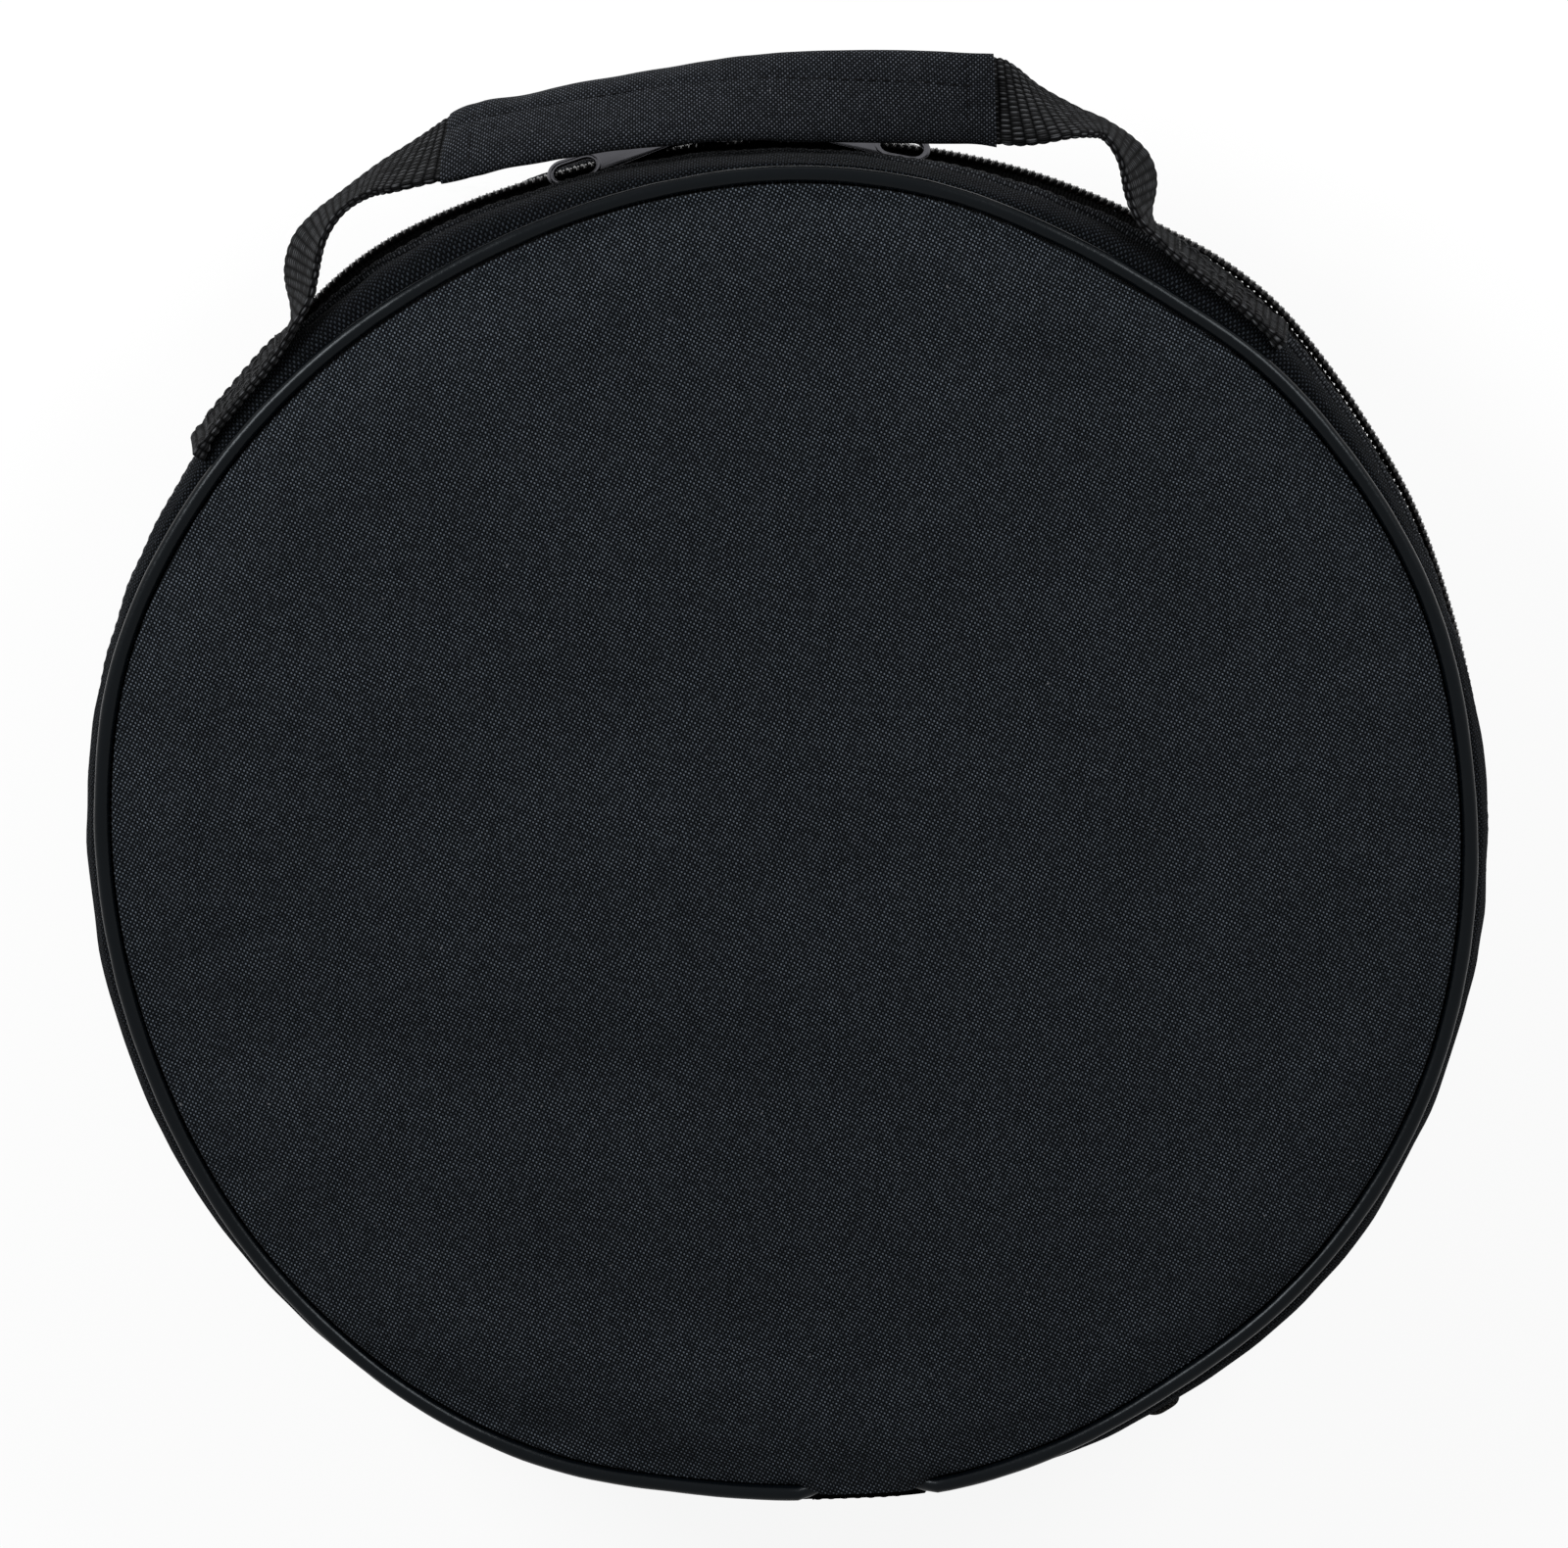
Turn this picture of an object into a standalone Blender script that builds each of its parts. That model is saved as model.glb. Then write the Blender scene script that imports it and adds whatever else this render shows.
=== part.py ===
"""Round padded tambourine bag: two fabric trays on a fabric hinge, a two-way zip and a carry handle.

The bag lies on its back. The origin is the centre of the back panel's flat face, +Z runs through
the depth to the front panel, and +Y runs from the centre to the carry handle. Sizes are in metres.
"""

import math

import bmesh
import bpy
from mathutils import Matrix, Vector

# Whole bag
BAG_DEPTH = 0.064
PIPING_RING_RADIUS = 0.1615
CLEARANCE = 0.0003
WELD_DISTANCE = 0.000001
BEND_LIMIT = 0.000002
RING_STEPS = 54
ROUNDING_STEPS = 3

# Cloth and foam
FABRIC_THICKNESS = 0.001
LINING_THICKNESS = 0.0006
BINDING_THICKNESS = 0.0006
PANEL_FOAM_THICKNESS = 0.006
GUSSET_FOAM_THICKNESS = 0.0025
PANEL_ROUNDING_WIDTH = 0.0093

# Piping and the seam that holds it
PIPING_RADIUS = 0.0019
PIPING_HEIGHT = 0.0055
PIPING_FLANGE_THICKNESS = 0.0008
PIPING_SIDES = 7
SEAM_ALLOWANCE = 0.005

# Gusset, the side wall of each tray
GUSSET_BULGE = 0.004
GUSSET_KNEE_WIDTH = 0.0019
GUSSET_KNEE_HEIGHT = 0.0053
GUSSET_EDGE_HEIGHT = 0.023
GUSSET_HEM = 0.0005

# Zip
TAPE_THICKNESS = 0.0007
TAPE_WIDTH = 0.014
TAPE_EDGE_TO_MIDDLE = 0.001
COIL_RADIUS = 0.0012
COIL_SEAT_GAP = 0.0004
COIL_TO_MIDDLE = 0.002
COIL_SIDES = 6
HINGE_STEPS = 8
COIL_END_LENGTH = 0.0062
END_TAB_LENGTH = 0.0116
END_TAB_HEIGHT = 0.0028
END_TAB_WIDTH = 0.0062
END_TAB_TO_MIDDLE = 0.0003

# Zip sliders, which meet a little to the right of the handle's middle
ZIP_MEETING_ANGLE = math.radians(88.0)
SLIDER_LENGTH = 0.011
SLIDER_WIDTH = 0.0084
SLIDER_SPACING = 0.0126
SLIDER_PLATE_THICKNESS = 0.0012
SLIDER_INNER_PLATE_THICKNESS = 0.001
SLIDER_RUNNING_GAP = 0.0006
SLIDER_POST_LENGTH = 0.0032
SLIDER_POST_THICKNESS = 0.001
SLIDER_FLANGE_THICKNESS = 0.0007
BRIDGE_LENGTH = 0.0076
BRIDGE_WIDTH = 0.002
BRIDGE_THICKNESS = 0.0011

# Zip pulls
PULL_LENGTH = 0.040
PULL_THICKNESS = 0.0013
PULL_NARROW_WIDTH = 0.0056
PULL_WIDE_WIDTH = 0.0085
PULL_SLOT_LENGTH = 0.0096
PULL_SLOT_WIDTH = 0.0038
PULL_SLOT_RIM = 0.0020
PULL_WINDOW_LENGTH = 0.0046
PULL_WINDOW_WIDTH = 0.0032
PULL_PIVOT_SHIFT = 0.0016
PULL_LEAN = math.radians(8.0)
SLOT_END_STEPS = 4

# Webbing and carry handle
WEBBING_WIDTH = 0.020
WEBBING_THICKNESS = 0.0013
WEBBING_TO_MIDDLE = 0.0046
HANDLE_LEAVE_ANGLE = math.radians(37.5)
HANDLE_SEWN_LENGTH = 0.0395
HANDLE_RISE = 0.0449
SLEEVE_HALF_LENGTH = 0.0665
SLEEVE_WALL = 0.0005
SLEEVE_SIDE_GAP = 0.0003
PAD_THICKNESS = 0.0016
PAD_WIDTH = 0.018
PAD_HALF_LENGTH = 0.060
HINGE_PATCH_WIDTH = 0.0295
HINGE_PATCH_MARGIN = 0.009
SEWN_STEPS = 3
TWIST_STEPS = 8
STRAP_STEPS = 7
SLEEVE_STEPS = 5

# Right half of the handle's centre line, from where it leaves the gusset to its crown: the
# distance to the side as a share of the leaving point's, the share of the rise, and the share
# of the quarter turn that brings the webbing's front edge in towards the bag. Below zero the
# front edge leans out.
HANDLE_PATH_SHARES = (
    (1.00, 0.00, 0.00),
    (0.97, 0.05, 0.00),
    (0.99, 0.15, -0.08),
    (1.01, 0.31, -0.20),
    (0.97, 0.51, -0.12),
    (0.88, 0.69, 0.22),
    (0.76, 0.81, 0.66),
    (0.63, 0.89, 1.00),
    (0.33, 0.97, 1.00),
    (0.00, 1.00, 1.00),
)
TWIST_END_SHARE = 0.58

# Half outline of a slider's plate from its nose to its tail, as shares of its half length and
# half width, and the ends of its flange, as shares of its half length
SLIDER_OUTLINE_SHARES = ((-1.0, 0.45), (-0.85, 0.82), (-0.5, 1.0), (0.7, 1.0), (1.0, 0.78))
FLANGE_LENGTH_SHARES = (-0.5, 0.7)

# Bridge over a slider's plate, as shares of half its length and of its height
BRIDGE_PATH_SHARES = ((-1.0, -0.1), (-0.92, 0.62), (-0.6, 1.0), (0.6, 1.0), (0.92, 0.62), (1.0, -0.1))

# Half outline of the tab over a zip's end, as shares of its half length and its height
END_TAB_SHARES = ((1.0, 0.0), (1.0, 0.45), (0.66, 0.88), (0.2, 1.0))

# Places worked out from the sizes above
MIDDLE_HEIGHT = BAG_DEPTH / 2
RING_STEP = math.tau / RING_STEPS
TOP_ANGLE = math.pi / 2
BOTTOM_ANGLE = -math.pi / 2
HINGE_HALF_ANGLE = RING_STEP * HINGE_STEPS / 2
ZIP_START_ANGLE = BOTTOM_ANGLE + HINGE_HALF_ANGLE
ZIP_STEPS = RING_STEPS - HINGE_STEPS

SEAM_RADIUS = PIPING_RING_RADIUS - PIPING_RADIUS - CLEARANCE
PANEL_FLAT_RADIUS = SEAM_RADIUS - PANEL_ROUNDING_WIDTH
FOAM_BOTTOM = FABRIC_THICKNESS + CLEARANCE
FOAM_TOP = FOAM_BOTTOM + PANEL_FOAM_THICKNESS
LINING_BOTTOM = FOAM_TOP + CLEARANCE
LINING_TOP = LINING_BOTTOM + LINING_THICKNESS
PANEL_TOP = LINING_TOP + CLEARANCE

FLANGE_INNER_RADIUS = SEAM_RADIUS + CLEARANCE
FLANGE_OUTER_RADIUS = FLANGE_INNER_RADIUS + PIPING_FLANGE_THICKNESS
GUSSET_FOOT_RADIUS = FLANGE_OUTER_RADIUS + CLEARANCE
GUSSET_FOOT_HEIGHT = PIPING_HEIGHT + PIPING_RADIUS + CLEARANCE
ALLOWANCE_TOP = GUSSET_FOOT_HEIGHT + SEAM_ALLOWANCE
BINDING_TOP = ALLOWANCE_TOP + CLEARANCE + BINDING_THICKNESS

GUSSET_RADIUS = PIPING_RING_RADIUS + GUSSET_BULGE
TAPE_OUTER_RADIUS = GUSSET_RADIUS - FABRIC_THICKNESS - CLEARANCE
TAPE_INNER_RADIUS = TAPE_OUTER_RADIUS - TAPE_THICKNESS
TAPE_TOP = MIDDLE_HEIGHT - TAPE_EDGE_TO_MIDDLE
TAPE_BOTTOM = TAPE_TOP - TAPE_WIDTH
COIL_RING_RADIUS = TAPE_OUTER_RADIUS + COIL_SEAT_GAP + COIL_RADIUS
COIL_OUTER_RADIUS = COIL_RING_RADIUS + COIL_RADIUS
COIL_START_ANGLE = ZIP_START_ANGLE + COIL_END_LENGTH / COIL_RING_RADIUS
COIL_SWEEP = math.pi - 2 * COIL_START_ANGLE

WEBBING_INNER_RADIUS = GUSSET_RADIUS + CLEARANCE
WEBBING_OUTER_RADIUS = WEBBING_INNER_RADIUS + WEBBING_THICKNESS
WEBBING_RADIUS = WEBBING_INNER_RADIUS + WEBBING_THICKNESS / 2
HANDLE_HEIGHT = MIDDLE_HEIGHT + WEBBING_TO_MIDDLE + WEBBING_WIDTH / 2
HANDLE_SIDE = WEBBING_RADIUS * math.sin(HANDLE_LEAVE_ANGLE)
HANDLE_AXIS_Y = WEBBING_RADIUS * math.cos(HANDLE_LEAVE_ANGLE)
LID_AXIS_Y = -(GUSSET_RADIUS + FABRIC_THICKNESS)

SLIDER_PLATE_RADIUS = COIL_OUTER_RADIUS + SLIDER_RUNNING_GAP
SLIDER_TOP_RADIUS = SLIDER_PLATE_RADIUS + SLIDER_PLATE_THICKNESS
SLIDER_BACK_RADIUS = TAPE_INNER_RADIUS - SLIDER_RUNNING_GAP
SLIDER_INNER_RADIUS = SLIDER_BACK_RADIUS - SLIDER_INNER_PLATE_THICKNESS
PULL_LEAN_DROP = (SLIDER_LENGTH / 2 - PULL_PIVOT_SHIFT) * math.sin(PULL_LEAN)
PULL_PIVOT_RADIUS = SLIDER_TOP_RADIUS + CLEARANCE + PULL_LEAN_DROP + PULL_THICKNESS / 2
PULL_BAR_REACH = PULL_THICKNESS / math.sqrt(2)
BRIDGE_RADIUS = PULL_PIVOT_RADIUS + PULL_BAR_REACH + CLEARANCE + BRIDGE_THICKNESS / 2

# Colour, roughness and metallic share of each material
FINISHES = {
    "outer_fabric": ((0.016, 0.019, 0.024), 0.82, 0.0),
    "gusset_fabric": ((0.018, 0.018, 0.020), 0.85, 0.0),
    "lining_fabric": ((0.022, 0.022, 0.024), 0.75, 0.0),
    "foam": ((0.055, 0.055, 0.060), 0.95, 0.0),
    "piping_vinyl": ((0.012, 0.014, 0.016), 0.38, 0.0),
    "binding_tape": ((0.014, 0.014, 0.015), 0.90, 0.0),
    "zip_tape": ((0.009, 0.009, 0.010), 0.88, 0.0),
    "zip_coil": ((0.020, 0.015, 0.013), 0.30, 0.0),
    "zip_metal": ((0.045, 0.047, 0.052), 0.28, 1.0),
    "webbing": ((0.020, 0.020, 0.021), 0.88, 0.0),
}


def clear_scene():
    """Remove whatever the file holds."""
    for thing in list(bpy.data.objects):
        bpy.data.objects.remove(thing, do_unlink=True)


def finish_for(name, finish):
    """Return a new Principled material of one named finish."""
    color, roughness, metallic = FINISHES[finish]
    material = bpy.data.materials.new(name + "_" + finish)
    material.use_nodes = True
    shader = material.node_tree.nodes["Principled BSDF"]
    shader.inputs["Base Color"].default_value = (*color, 1.0)
    shader.inputs["Roughness"].default_value = roughness
    shader.inputs["Metallic"].default_value = metallic
    material.diffuse_color = (*color, 1.0)
    return material


def bend_of(face):
    """Return how far a face's corners lie off its plane."""
    centre = face.calc_center_median()
    return max(abs((corner.co - centre).dot(face.normal)) for corner in face.verts)


def object_from(name, build, finish):
    """Make an object of a finished bmesh, with its faces pointing out and its round sides smooth."""
    bmesh.ops.remove_doubles(build, verts=build.verts, dist=WELD_DISTANCE)
    bmesh.ops.recalc_face_normals(build, faces=build.faces)
    build.normal_update()
    bent = [face for face in build.faces if bend_of(face) > BEND_LIMIT]
    bmesh.ops.triangulate(build, faces=bent)
    mesh = bpy.data.meshes.new(name)
    build.to_mesh(mesh)
    build.free()
    mesh.shade_smooth()
    mesh.set_sharp_from_angle(angle=math.radians(35))
    thing = bpy.data.objects.new(name, mesh)
    thing.data.materials.append(finish_for(name, finish))
    bpy.context.scene.collection.objects.link(thing)
    return thing


def join_rings(build, rings, closed):
    """Bridge each ring of points to the next, and return the rings of vertices."""
    loops = [[build.verts.new(point) for point in ring] for ring in rings]
    pairs = list(zip(loops, loops[1:]))
    if closed:
        pairs.append((loops[-1], loops[0]))
    for lower, upper in pairs:
        for index in range(len(lower)):
            following = (index + 1) % len(lower)
            build.faces.new((lower[index], lower[following], upper[following], upper[index]))
    return loops


def lofted(name, rings, finish, closed=False):
    """Make a solid through rings of points, with flat ends or closed on itself."""
    build = bmesh.new()
    loops = join_rings(build, rings, closed)
    if not closed:
        build.faces.new(loops[0])
        build.faces.new(loops[-1])
    return object_from(name, build, finish)


def hollow_lofted(name, outer_rings, inner_rings, finish):
    """Make a tube between outer and inner rings of the same count, open at both ends."""
    build = bmesh.new()
    outer = join_rings(build, outer_rings, False)
    inner = join_rings(build, inner_rings, False)
    for outer_loop, inner_loop in ((outer[0], inner[0]), (outer[-1], inner[-1])):
        for index in range(len(outer_loop)):
            following = (index + 1) % len(outer_loop)
            outer_edge = (outer_loop[index], outer_loop[following])
            build.faces.new((*outer_edge, inner_loop[following], inner_loop[index]))
    return object_from(name, build, finish)


def ring_at(outline, angle):
    """Stand an outline of radii and heights up at an angle round the bag's axis."""
    return [(radius * math.cos(angle), radius * math.sin(angle), height) for radius, height in outline]


def turned(name, outline, finish, start=ZIP_START_ANGLE, sweep=math.tau, steps=RING_STEPS):
    """Turn an outline round the bag's axis, all the way or over an arc."""
    closed = steps == RING_STEPS
    count = steps if closed else steps + 1
    rings = [ring_at(outline, start + sweep * index / steps) for index in range(count)]
    return lofted(name, rings, finish, closed)


def mirrored(outline, half):
    """Return the back tray's outline as it is, or turned over for the front tray."""
    if half == "back":
        return outline
    return [(radius, BAG_DEPTH - height) for radius, height in outline]


def rounding(inset):
    """Return the panel's rounded rim, from its flat face to its side, set in from its outer skin."""
    points = []
    for index in range(ROUNDING_STEPS + 1):
        turn = math.pi / 2 * index / ROUNDING_STEPS
        radius = PANEL_FLAT_RADIUS + (PANEL_ROUNDING_WIDTH - inset) * math.sin(turn)
        height = PIPING_HEIGHT - (PIPING_HEIGHT - inset) * math.cos(turn)
        points.append((radius, height))
    return points


def panel_outline():
    """Fabric disc, rounded at its rim, with its edge turned into the seam."""
    inner_side = SEAM_RADIUS - FABRIC_THICKNESS
    skin = [(0.0, 0.0), *rounding(0.0), (SEAM_RADIUS, PANEL_TOP)]
    back = [(0.0, FABRIC_THICKNESS), *rounding(FABRIC_THICKNESS), (inner_side, PANEL_TOP)]
    return skin + back[::-1]


def foam_outline():
    """Foam disc inside the panel's fabric."""
    side = SEAM_RADIUS - FOAM_BOTTOM
    return [(0.0, FOAM_BOTTOM), *rounding(FOAM_BOTTOM), (side, FOAM_TOP), (0.0, FOAM_TOP)]


def lining_outline():
    """Lining disc over the foam."""
    side = SEAM_RADIUS - FOAM_BOTTOM
    return [(0.0, LINING_BOTTOM), (side, LINING_BOTTOM), (side, LINING_TOP), (0.0, LINING_TOP)]


def piping_outline():
    """Round bead outside the seam, with the flange that the seam catches."""
    flange_cosine = (FLANGE_OUTER_RADIUS - PIPING_RING_RADIUS) / PIPING_RADIUS
    first = math.pi
    last = math.tau + math.acos(flange_cosine)
    points = []
    for index in range(PIPING_SIDES + 1):
        turn = first + (last - first) * index / PIPING_SIDES
        radius = PIPING_RING_RADIUS + PIPING_RADIUS * math.cos(turn)
        height = PIPING_HEIGHT + PIPING_RADIUS * math.sin(turn)
        points.append((radius, height))
    return points + [(FLANGE_OUTER_RADIUS, ALLOWANCE_TOP), (FLANGE_INNER_RADIUS, ALLOWANCE_TOP)]


def binding_outline():
    """Tape folded over the raw edges of the seam."""
    inner = FLANGE_INNER_RADIUS - CLEARANCE
    outer = GUSSET_FOOT_RADIUS + FABRIC_THICKNESS + CLEARANCE
    inner_foot = PANEL_TOP + CLEARANCE
    outer_foot = GUSSET_FOOT_HEIGHT + FABRIC_THICKNESS + CLEARANCE
    fold = ALLOWANCE_TOP + CLEARANCE
    return [
        (inner - BINDING_THICKNESS, inner_foot),
        (inner, inner_foot),
        (inner, fold),
        (outer, fold),
        (outer, outer_foot),
        (outer + BINDING_THICKNESS, outer_foot),
        (outer + BINDING_THICKNESS, BINDING_TOP),
        (inner - BINDING_THICKNESS, BINDING_TOP),
    ]


def gusset_outline():
    """Side wall: its edge turned into the seam, a knee over the piping, and a hemmed free edge."""
    skin = FABRIC_THICKNESS
    knee_radius = GUSSET_RADIUS - GUSSET_KNEE_WIDTH
    knee_height = GUSSET_FOOT_HEIGHT + GUSSET_KNEE_HEIGHT
    return [
        (GUSSET_FOOT_RADIUS, ALLOWANCE_TOP),
        (GUSSET_FOOT_RADIUS, GUSSET_FOOT_HEIGHT),
        (knee_radius, GUSSET_FOOT_HEIGHT),
        (GUSSET_RADIUS, knee_height),
        (GUSSET_RADIUS, GUSSET_EDGE_HEIGHT),
        (GUSSET_RADIUS - skin, GUSSET_EDGE_HEIGHT),
        (GUSSET_RADIUS - skin, knee_height),
        (knee_radius - skin, GUSSET_FOOT_HEIGHT + skin),
        (GUSSET_FOOT_RADIUS + skin, GUSSET_FOOT_HEIGHT + skin),
        (GUSSET_FOOT_RADIUS + skin, ALLOWANCE_TOP),
    ]


def upright_outline(inner, outer, low, high):
    """Return the four corners of a band that stands round the bag's axis."""
    return [(inner, low), (outer, low), (outer, high), (inner, high)]


def gusset_foam_outline():
    """Foam band behind the gusset."""
    outer = TAPE_INNER_RADIUS - CLEARANCE
    top = GUSSET_EDGE_HEIGHT - GUSSET_HEM
    return upright_outline(outer - GUSSET_FOAM_THICKNESS, outer, BINDING_TOP + CLEARANCE, top)


def gusset_lining_outline():
    """Lining band inside the gusset's foam."""
    outer = TAPE_INNER_RADIUS - CLEARANCE - GUSSET_FOAM_THICKNESS - CLEARANCE
    top = GUSSET_EDGE_HEIGHT - GUSSET_HEM
    return upright_outline(outer - LINING_THICKNESS, outer, BINDING_TOP + CLEARANCE, top)


def coil_outline():
    """Coil of the zip, as the plain bead that its turns fill."""
    height = MIDDLE_HEIGHT - COIL_TO_MIDDLE
    points = []
    for index in range(COIL_SIDES):
        turn = math.tau * index / COIL_SIDES
        radius = COIL_RING_RADIUS + COIL_RADIUS * math.cos(turn)
        points.append((radius, height + COIL_RADIUS * math.sin(turn)))
    return points


def make_tray(half):
    """Make the cloth, foam, piping and zip tape of the back or the front tray."""
    full_rings = (
        ("_panel", panel_outline(), "outer_fabric"),
        ("_foam", foam_outline(), "foam"),
        ("_lining", lining_outline(), "lining_fabric"),
        ("_piping", piping_outline(), "piping_vinyl"),
        ("_binding", binding_outline(), "binding_tape"),
        ("_gusset", gusset_outline(), "gusset_fabric"),
        ("_gusset_foam", gusset_foam_outline(), "foam"),
        ("_gusset_lining", gusset_lining_outline(), "lining_fabric"),
    )
    pieces = [turned(half + name, mirrored(outline, half), finish) for name, outline, finish in full_rings]
    zip_sweep = RING_STEP * ZIP_STEPS
    tape = mirrored(upright_outline(TAPE_INNER_RADIUS, TAPE_OUTER_RADIUS, TAPE_BOTTOM, TAPE_TOP), half)
    pieces.append(turned(half + "_zip_tape", tape, "zip_tape", ZIP_START_ANGLE, zip_sweep, ZIP_STEPS))
    coil = mirrored(coil_outline(), half)
    pieces.append(turned(half + "_zip_coil", coil, "zip_coil", COIL_START_ANGLE, COIL_SWEEP, ZIP_STEPS))
    return pieces


def make_hinge_strip():
    """Fabric strip that joins the trays below the zip's ends."""
    outline = upright_outline(TAPE_INNER_RADIUS, TAPE_OUTER_RADIUS, TAPE_BOTTOM, BAG_DEPTH - TAPE_BOTTOM)
    half_sweep = HINGE_HALF_ANGLE - CLEARANCE / TAPE_OUTER_RADIUS
    start = BOTTOM_ANGLE - half_sweep
    return turned("hinge_strip", outline, "gusset_fabric", start, 2 * half_sweep, HINGE_STEPS)


def make_webbing_patch(name, centre_angle, length, low, high):
    """Webbing sewn flat on the gusset, from one height to another."""
    outline = upright_outline(WEBBING_INNER_RADIUS, WEBBING_OUTER_RADIUS, low, high)
    sweep = length / WEBBING_RADIUS
    return turned(name, outline, "webbing", centre_angle - sweep / 2, sweep, SEWN_STEPS)


def make_end_tab(name, side):
    """Rounded fabric tab over one end of the zip, on the back tray."""
    half_length = END_TAB_LENGTH / 2
    foot = TAPE_OUTER_RADIUS + COIL_SEAT_GAP
    right = [(half_length * along, foot + END_TAB_HEIGHT * up) for along, up in END_TAB_SHARES]
    outline = right + [(-along, up) for along, up in reversed(right)]
    top = MIDDLE_HEIGHT - END_TAB_TO_MIDDLE
    rings = [[(along, up, height) for along, up in outline] for height in (top - END_TAB_WIDTH, top)]
    tab = lofted(name, rings, "gusset_fabric")
    shift = (half_length + COIL_SEAT_GAP) / COIL_RING_RADIUS
    angle = BOTTOM_ANGLE + side * (HINGE_HALF_ANGLE + COIL_END_LENGTH / COIL_RING_RADIUS - shift)
    tab.rotation_euler.z = angle - TOP_ANGLE
    return tab


def handle_point(share):
    """Return the place and the turn of the handle's centre line at a share of its right half."""
    last = len(HANDLE_PATH_SHARES) - 1
    position = min(max(share, 0.0), 1.0) * last
    index = min(int(position), last - 1)
    local = position - index
    near = [Vector(HANDLE_PATH_SHARES[min(max(index + shift, 0), last)]) for shift in (-1, 0, 1, 2)]
    if index + 2 > last:
        before = HANDLE_PATH_SHARES[last - 1]
        near[3] = Vector((-before[0], before[1], before[2]))
    before, start, end, after = near
    cubic = 2 * start + (end - before) * local
    cubic += (2 * before - 5 * start + 4 * end - after) * local**2
    cubic += (3 * start - before - 3 * end + after) * local**3
    side, rise, turn = cubic / 2
    point = Vector((HANDLE_SIDE * side, HANDLE_AXIS_Y + HANDLE_RISE * rise, HANDLE_HEIGHT))
    return point, min(turn, 1.0) * math.pi / 2


def handle_frame(share):
    """Return a point of the handle, with the directions across and out of the webbing there."""
    step_share = 0.01
    point, turn = handle_point(share)
    ahead = handle_point(share + step_share)[0]
    behind = handle_point(share - step_share)[0]
    along = (ahead - behind).normalized()
    if share + step_share > 1.0:
        along = Vector((-1.0, 0.0, 0.0))
    outward = Vector((along.y, -along.x, 0.0))
    across = Vector((0.0, 0.0, 1.0)) * math.cos(turn) - outward * math.sin(turn)
    return point, across, along.cross(across)


def handle_ring(share, section):
    """Place a flat section, given across and out of the webbing, on the handle."""
    point, across, out = handle_frame(share)
    return [point + across * width + out * lift for width, lift in section]


def mirrored_ring(ring):
    """Return a ring of the handle's right half on its left half."""
    return [Vector((-point.x, point.y, point.z)) for point in ring]


def handle_shares(first, count):
    """Return evenly spaced shares from one along the handle's right half to its crown."""
    return [first + (1.0 - first) * index / count for index in range(count + 1)]


def whole_handle_rings(first, count, section):
    """Return rings from one side of the handle over its crown to the other."""
    right = [handle_ring(share, section) for share in handle_shares(first, count)]
    left = [mirrored_ring(ring) for ring in right[:-1]]
    return right + left[::-1]


def share_at_side(side_distance):
    """Return the share of the handle's right half at a distance from the middle, by halving."""
    low, high = 0.3, 1.0
    for _ in range(40):
        middle = (low + high) / 2
        if handle_point(middle)[0].x > side_distance:
            low = middle
        else:
            high = middle
    return (low + high) / 2


def webbing_section():
    """Return the flat section of the webbing."""
    half_width, half_thickness = WEBBING_WIDTH / 2, WEBBING_THICKNESS / 2
    return [
        (-half_width, -half_thickness),
        (half_width, -half_thickness),
        (half_width, half_thickness),
        (-half_width, half_thickness),
    ]


def pad_section(side):
    """Return the section of one foam pad, above or below the strap."""
    near = side * (WEBBING_THICKNESS / 2 + CLEARANCE)
    far = side * (WEBBING_THICKNESS / 2 + CLEARANCE + PAD_THICKNESS)
    half_width = PAD_WIDTH / 2
    return [(-half_width, near), (half_width, near), (half_width, far), (-half_width, far)]


def sleeve_section(inset):
    """Return the sleeve's section, flat with rounded sides, set in from its outer face."""
    half_width = WEBBING_WIDTH / 2 + SLEEVE_SIDE_GAP + SLEEVE_WALL - inset
    half_lift = WEBBING_THICKNESS / 2 + PAD_THICKNESS + 2 * CLEARANCE + SLEEVE_WALL - inset
    flat = PAD_WIDTH / 2 + CLEARANCE
    side_lift = WEBBING_THICKNESS / 2 + CLEARANCE + SLEEVE_WALL - inset
    right = [(half_width, side_lift), (flat, half_lift)]
    left = [(-flat, half_lift), (-half_width, side_lift)]
    upper = right + left
    return upper + [(width, -lift) for width, lift in reversed(upper)]


def make_handle_sides():
    """Make the sewn ends and the twisting stretches of the handle's webbing, on both sides."""
    low = HANDLE_HEIGHT - WEBBING_WIDTH / 2
    high = HANDLE_HEIGHT + WEBBING_WIDTH / 2
    gap_angle = CLEARANCE / WEBBING_RADIUS
    sewn_half_angle = HANDLE_SEWN_LENGTH / WEBBING_RADIUS / 2
    pieces = []
    for side_name, side in (("left", 1), ("right", -1)):
        centre = TOP_ANGLE + side * (HANDLE_LEAVE_ANGLE + gap_angle + sewn_half_angle)
        pieces.append(make_webbing_patch("handle_end_" + side_name, centre, HANDLE_SEWN_LENGTH, low, high))
        shares = [TWIST_END_SHARE * index / TWIST_STEPS for index in range(TWIST_STEPS + 1)]
        rings = [handle_ring(share, webbing_section()) for share in shares]
        if side_name == "left":
            rings = [mirrored_ring(ring) for ring in rings]
        pieces.append(lofted("handle_twist_" + side_name, rings, "webbing"))
    return pieces


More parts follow.
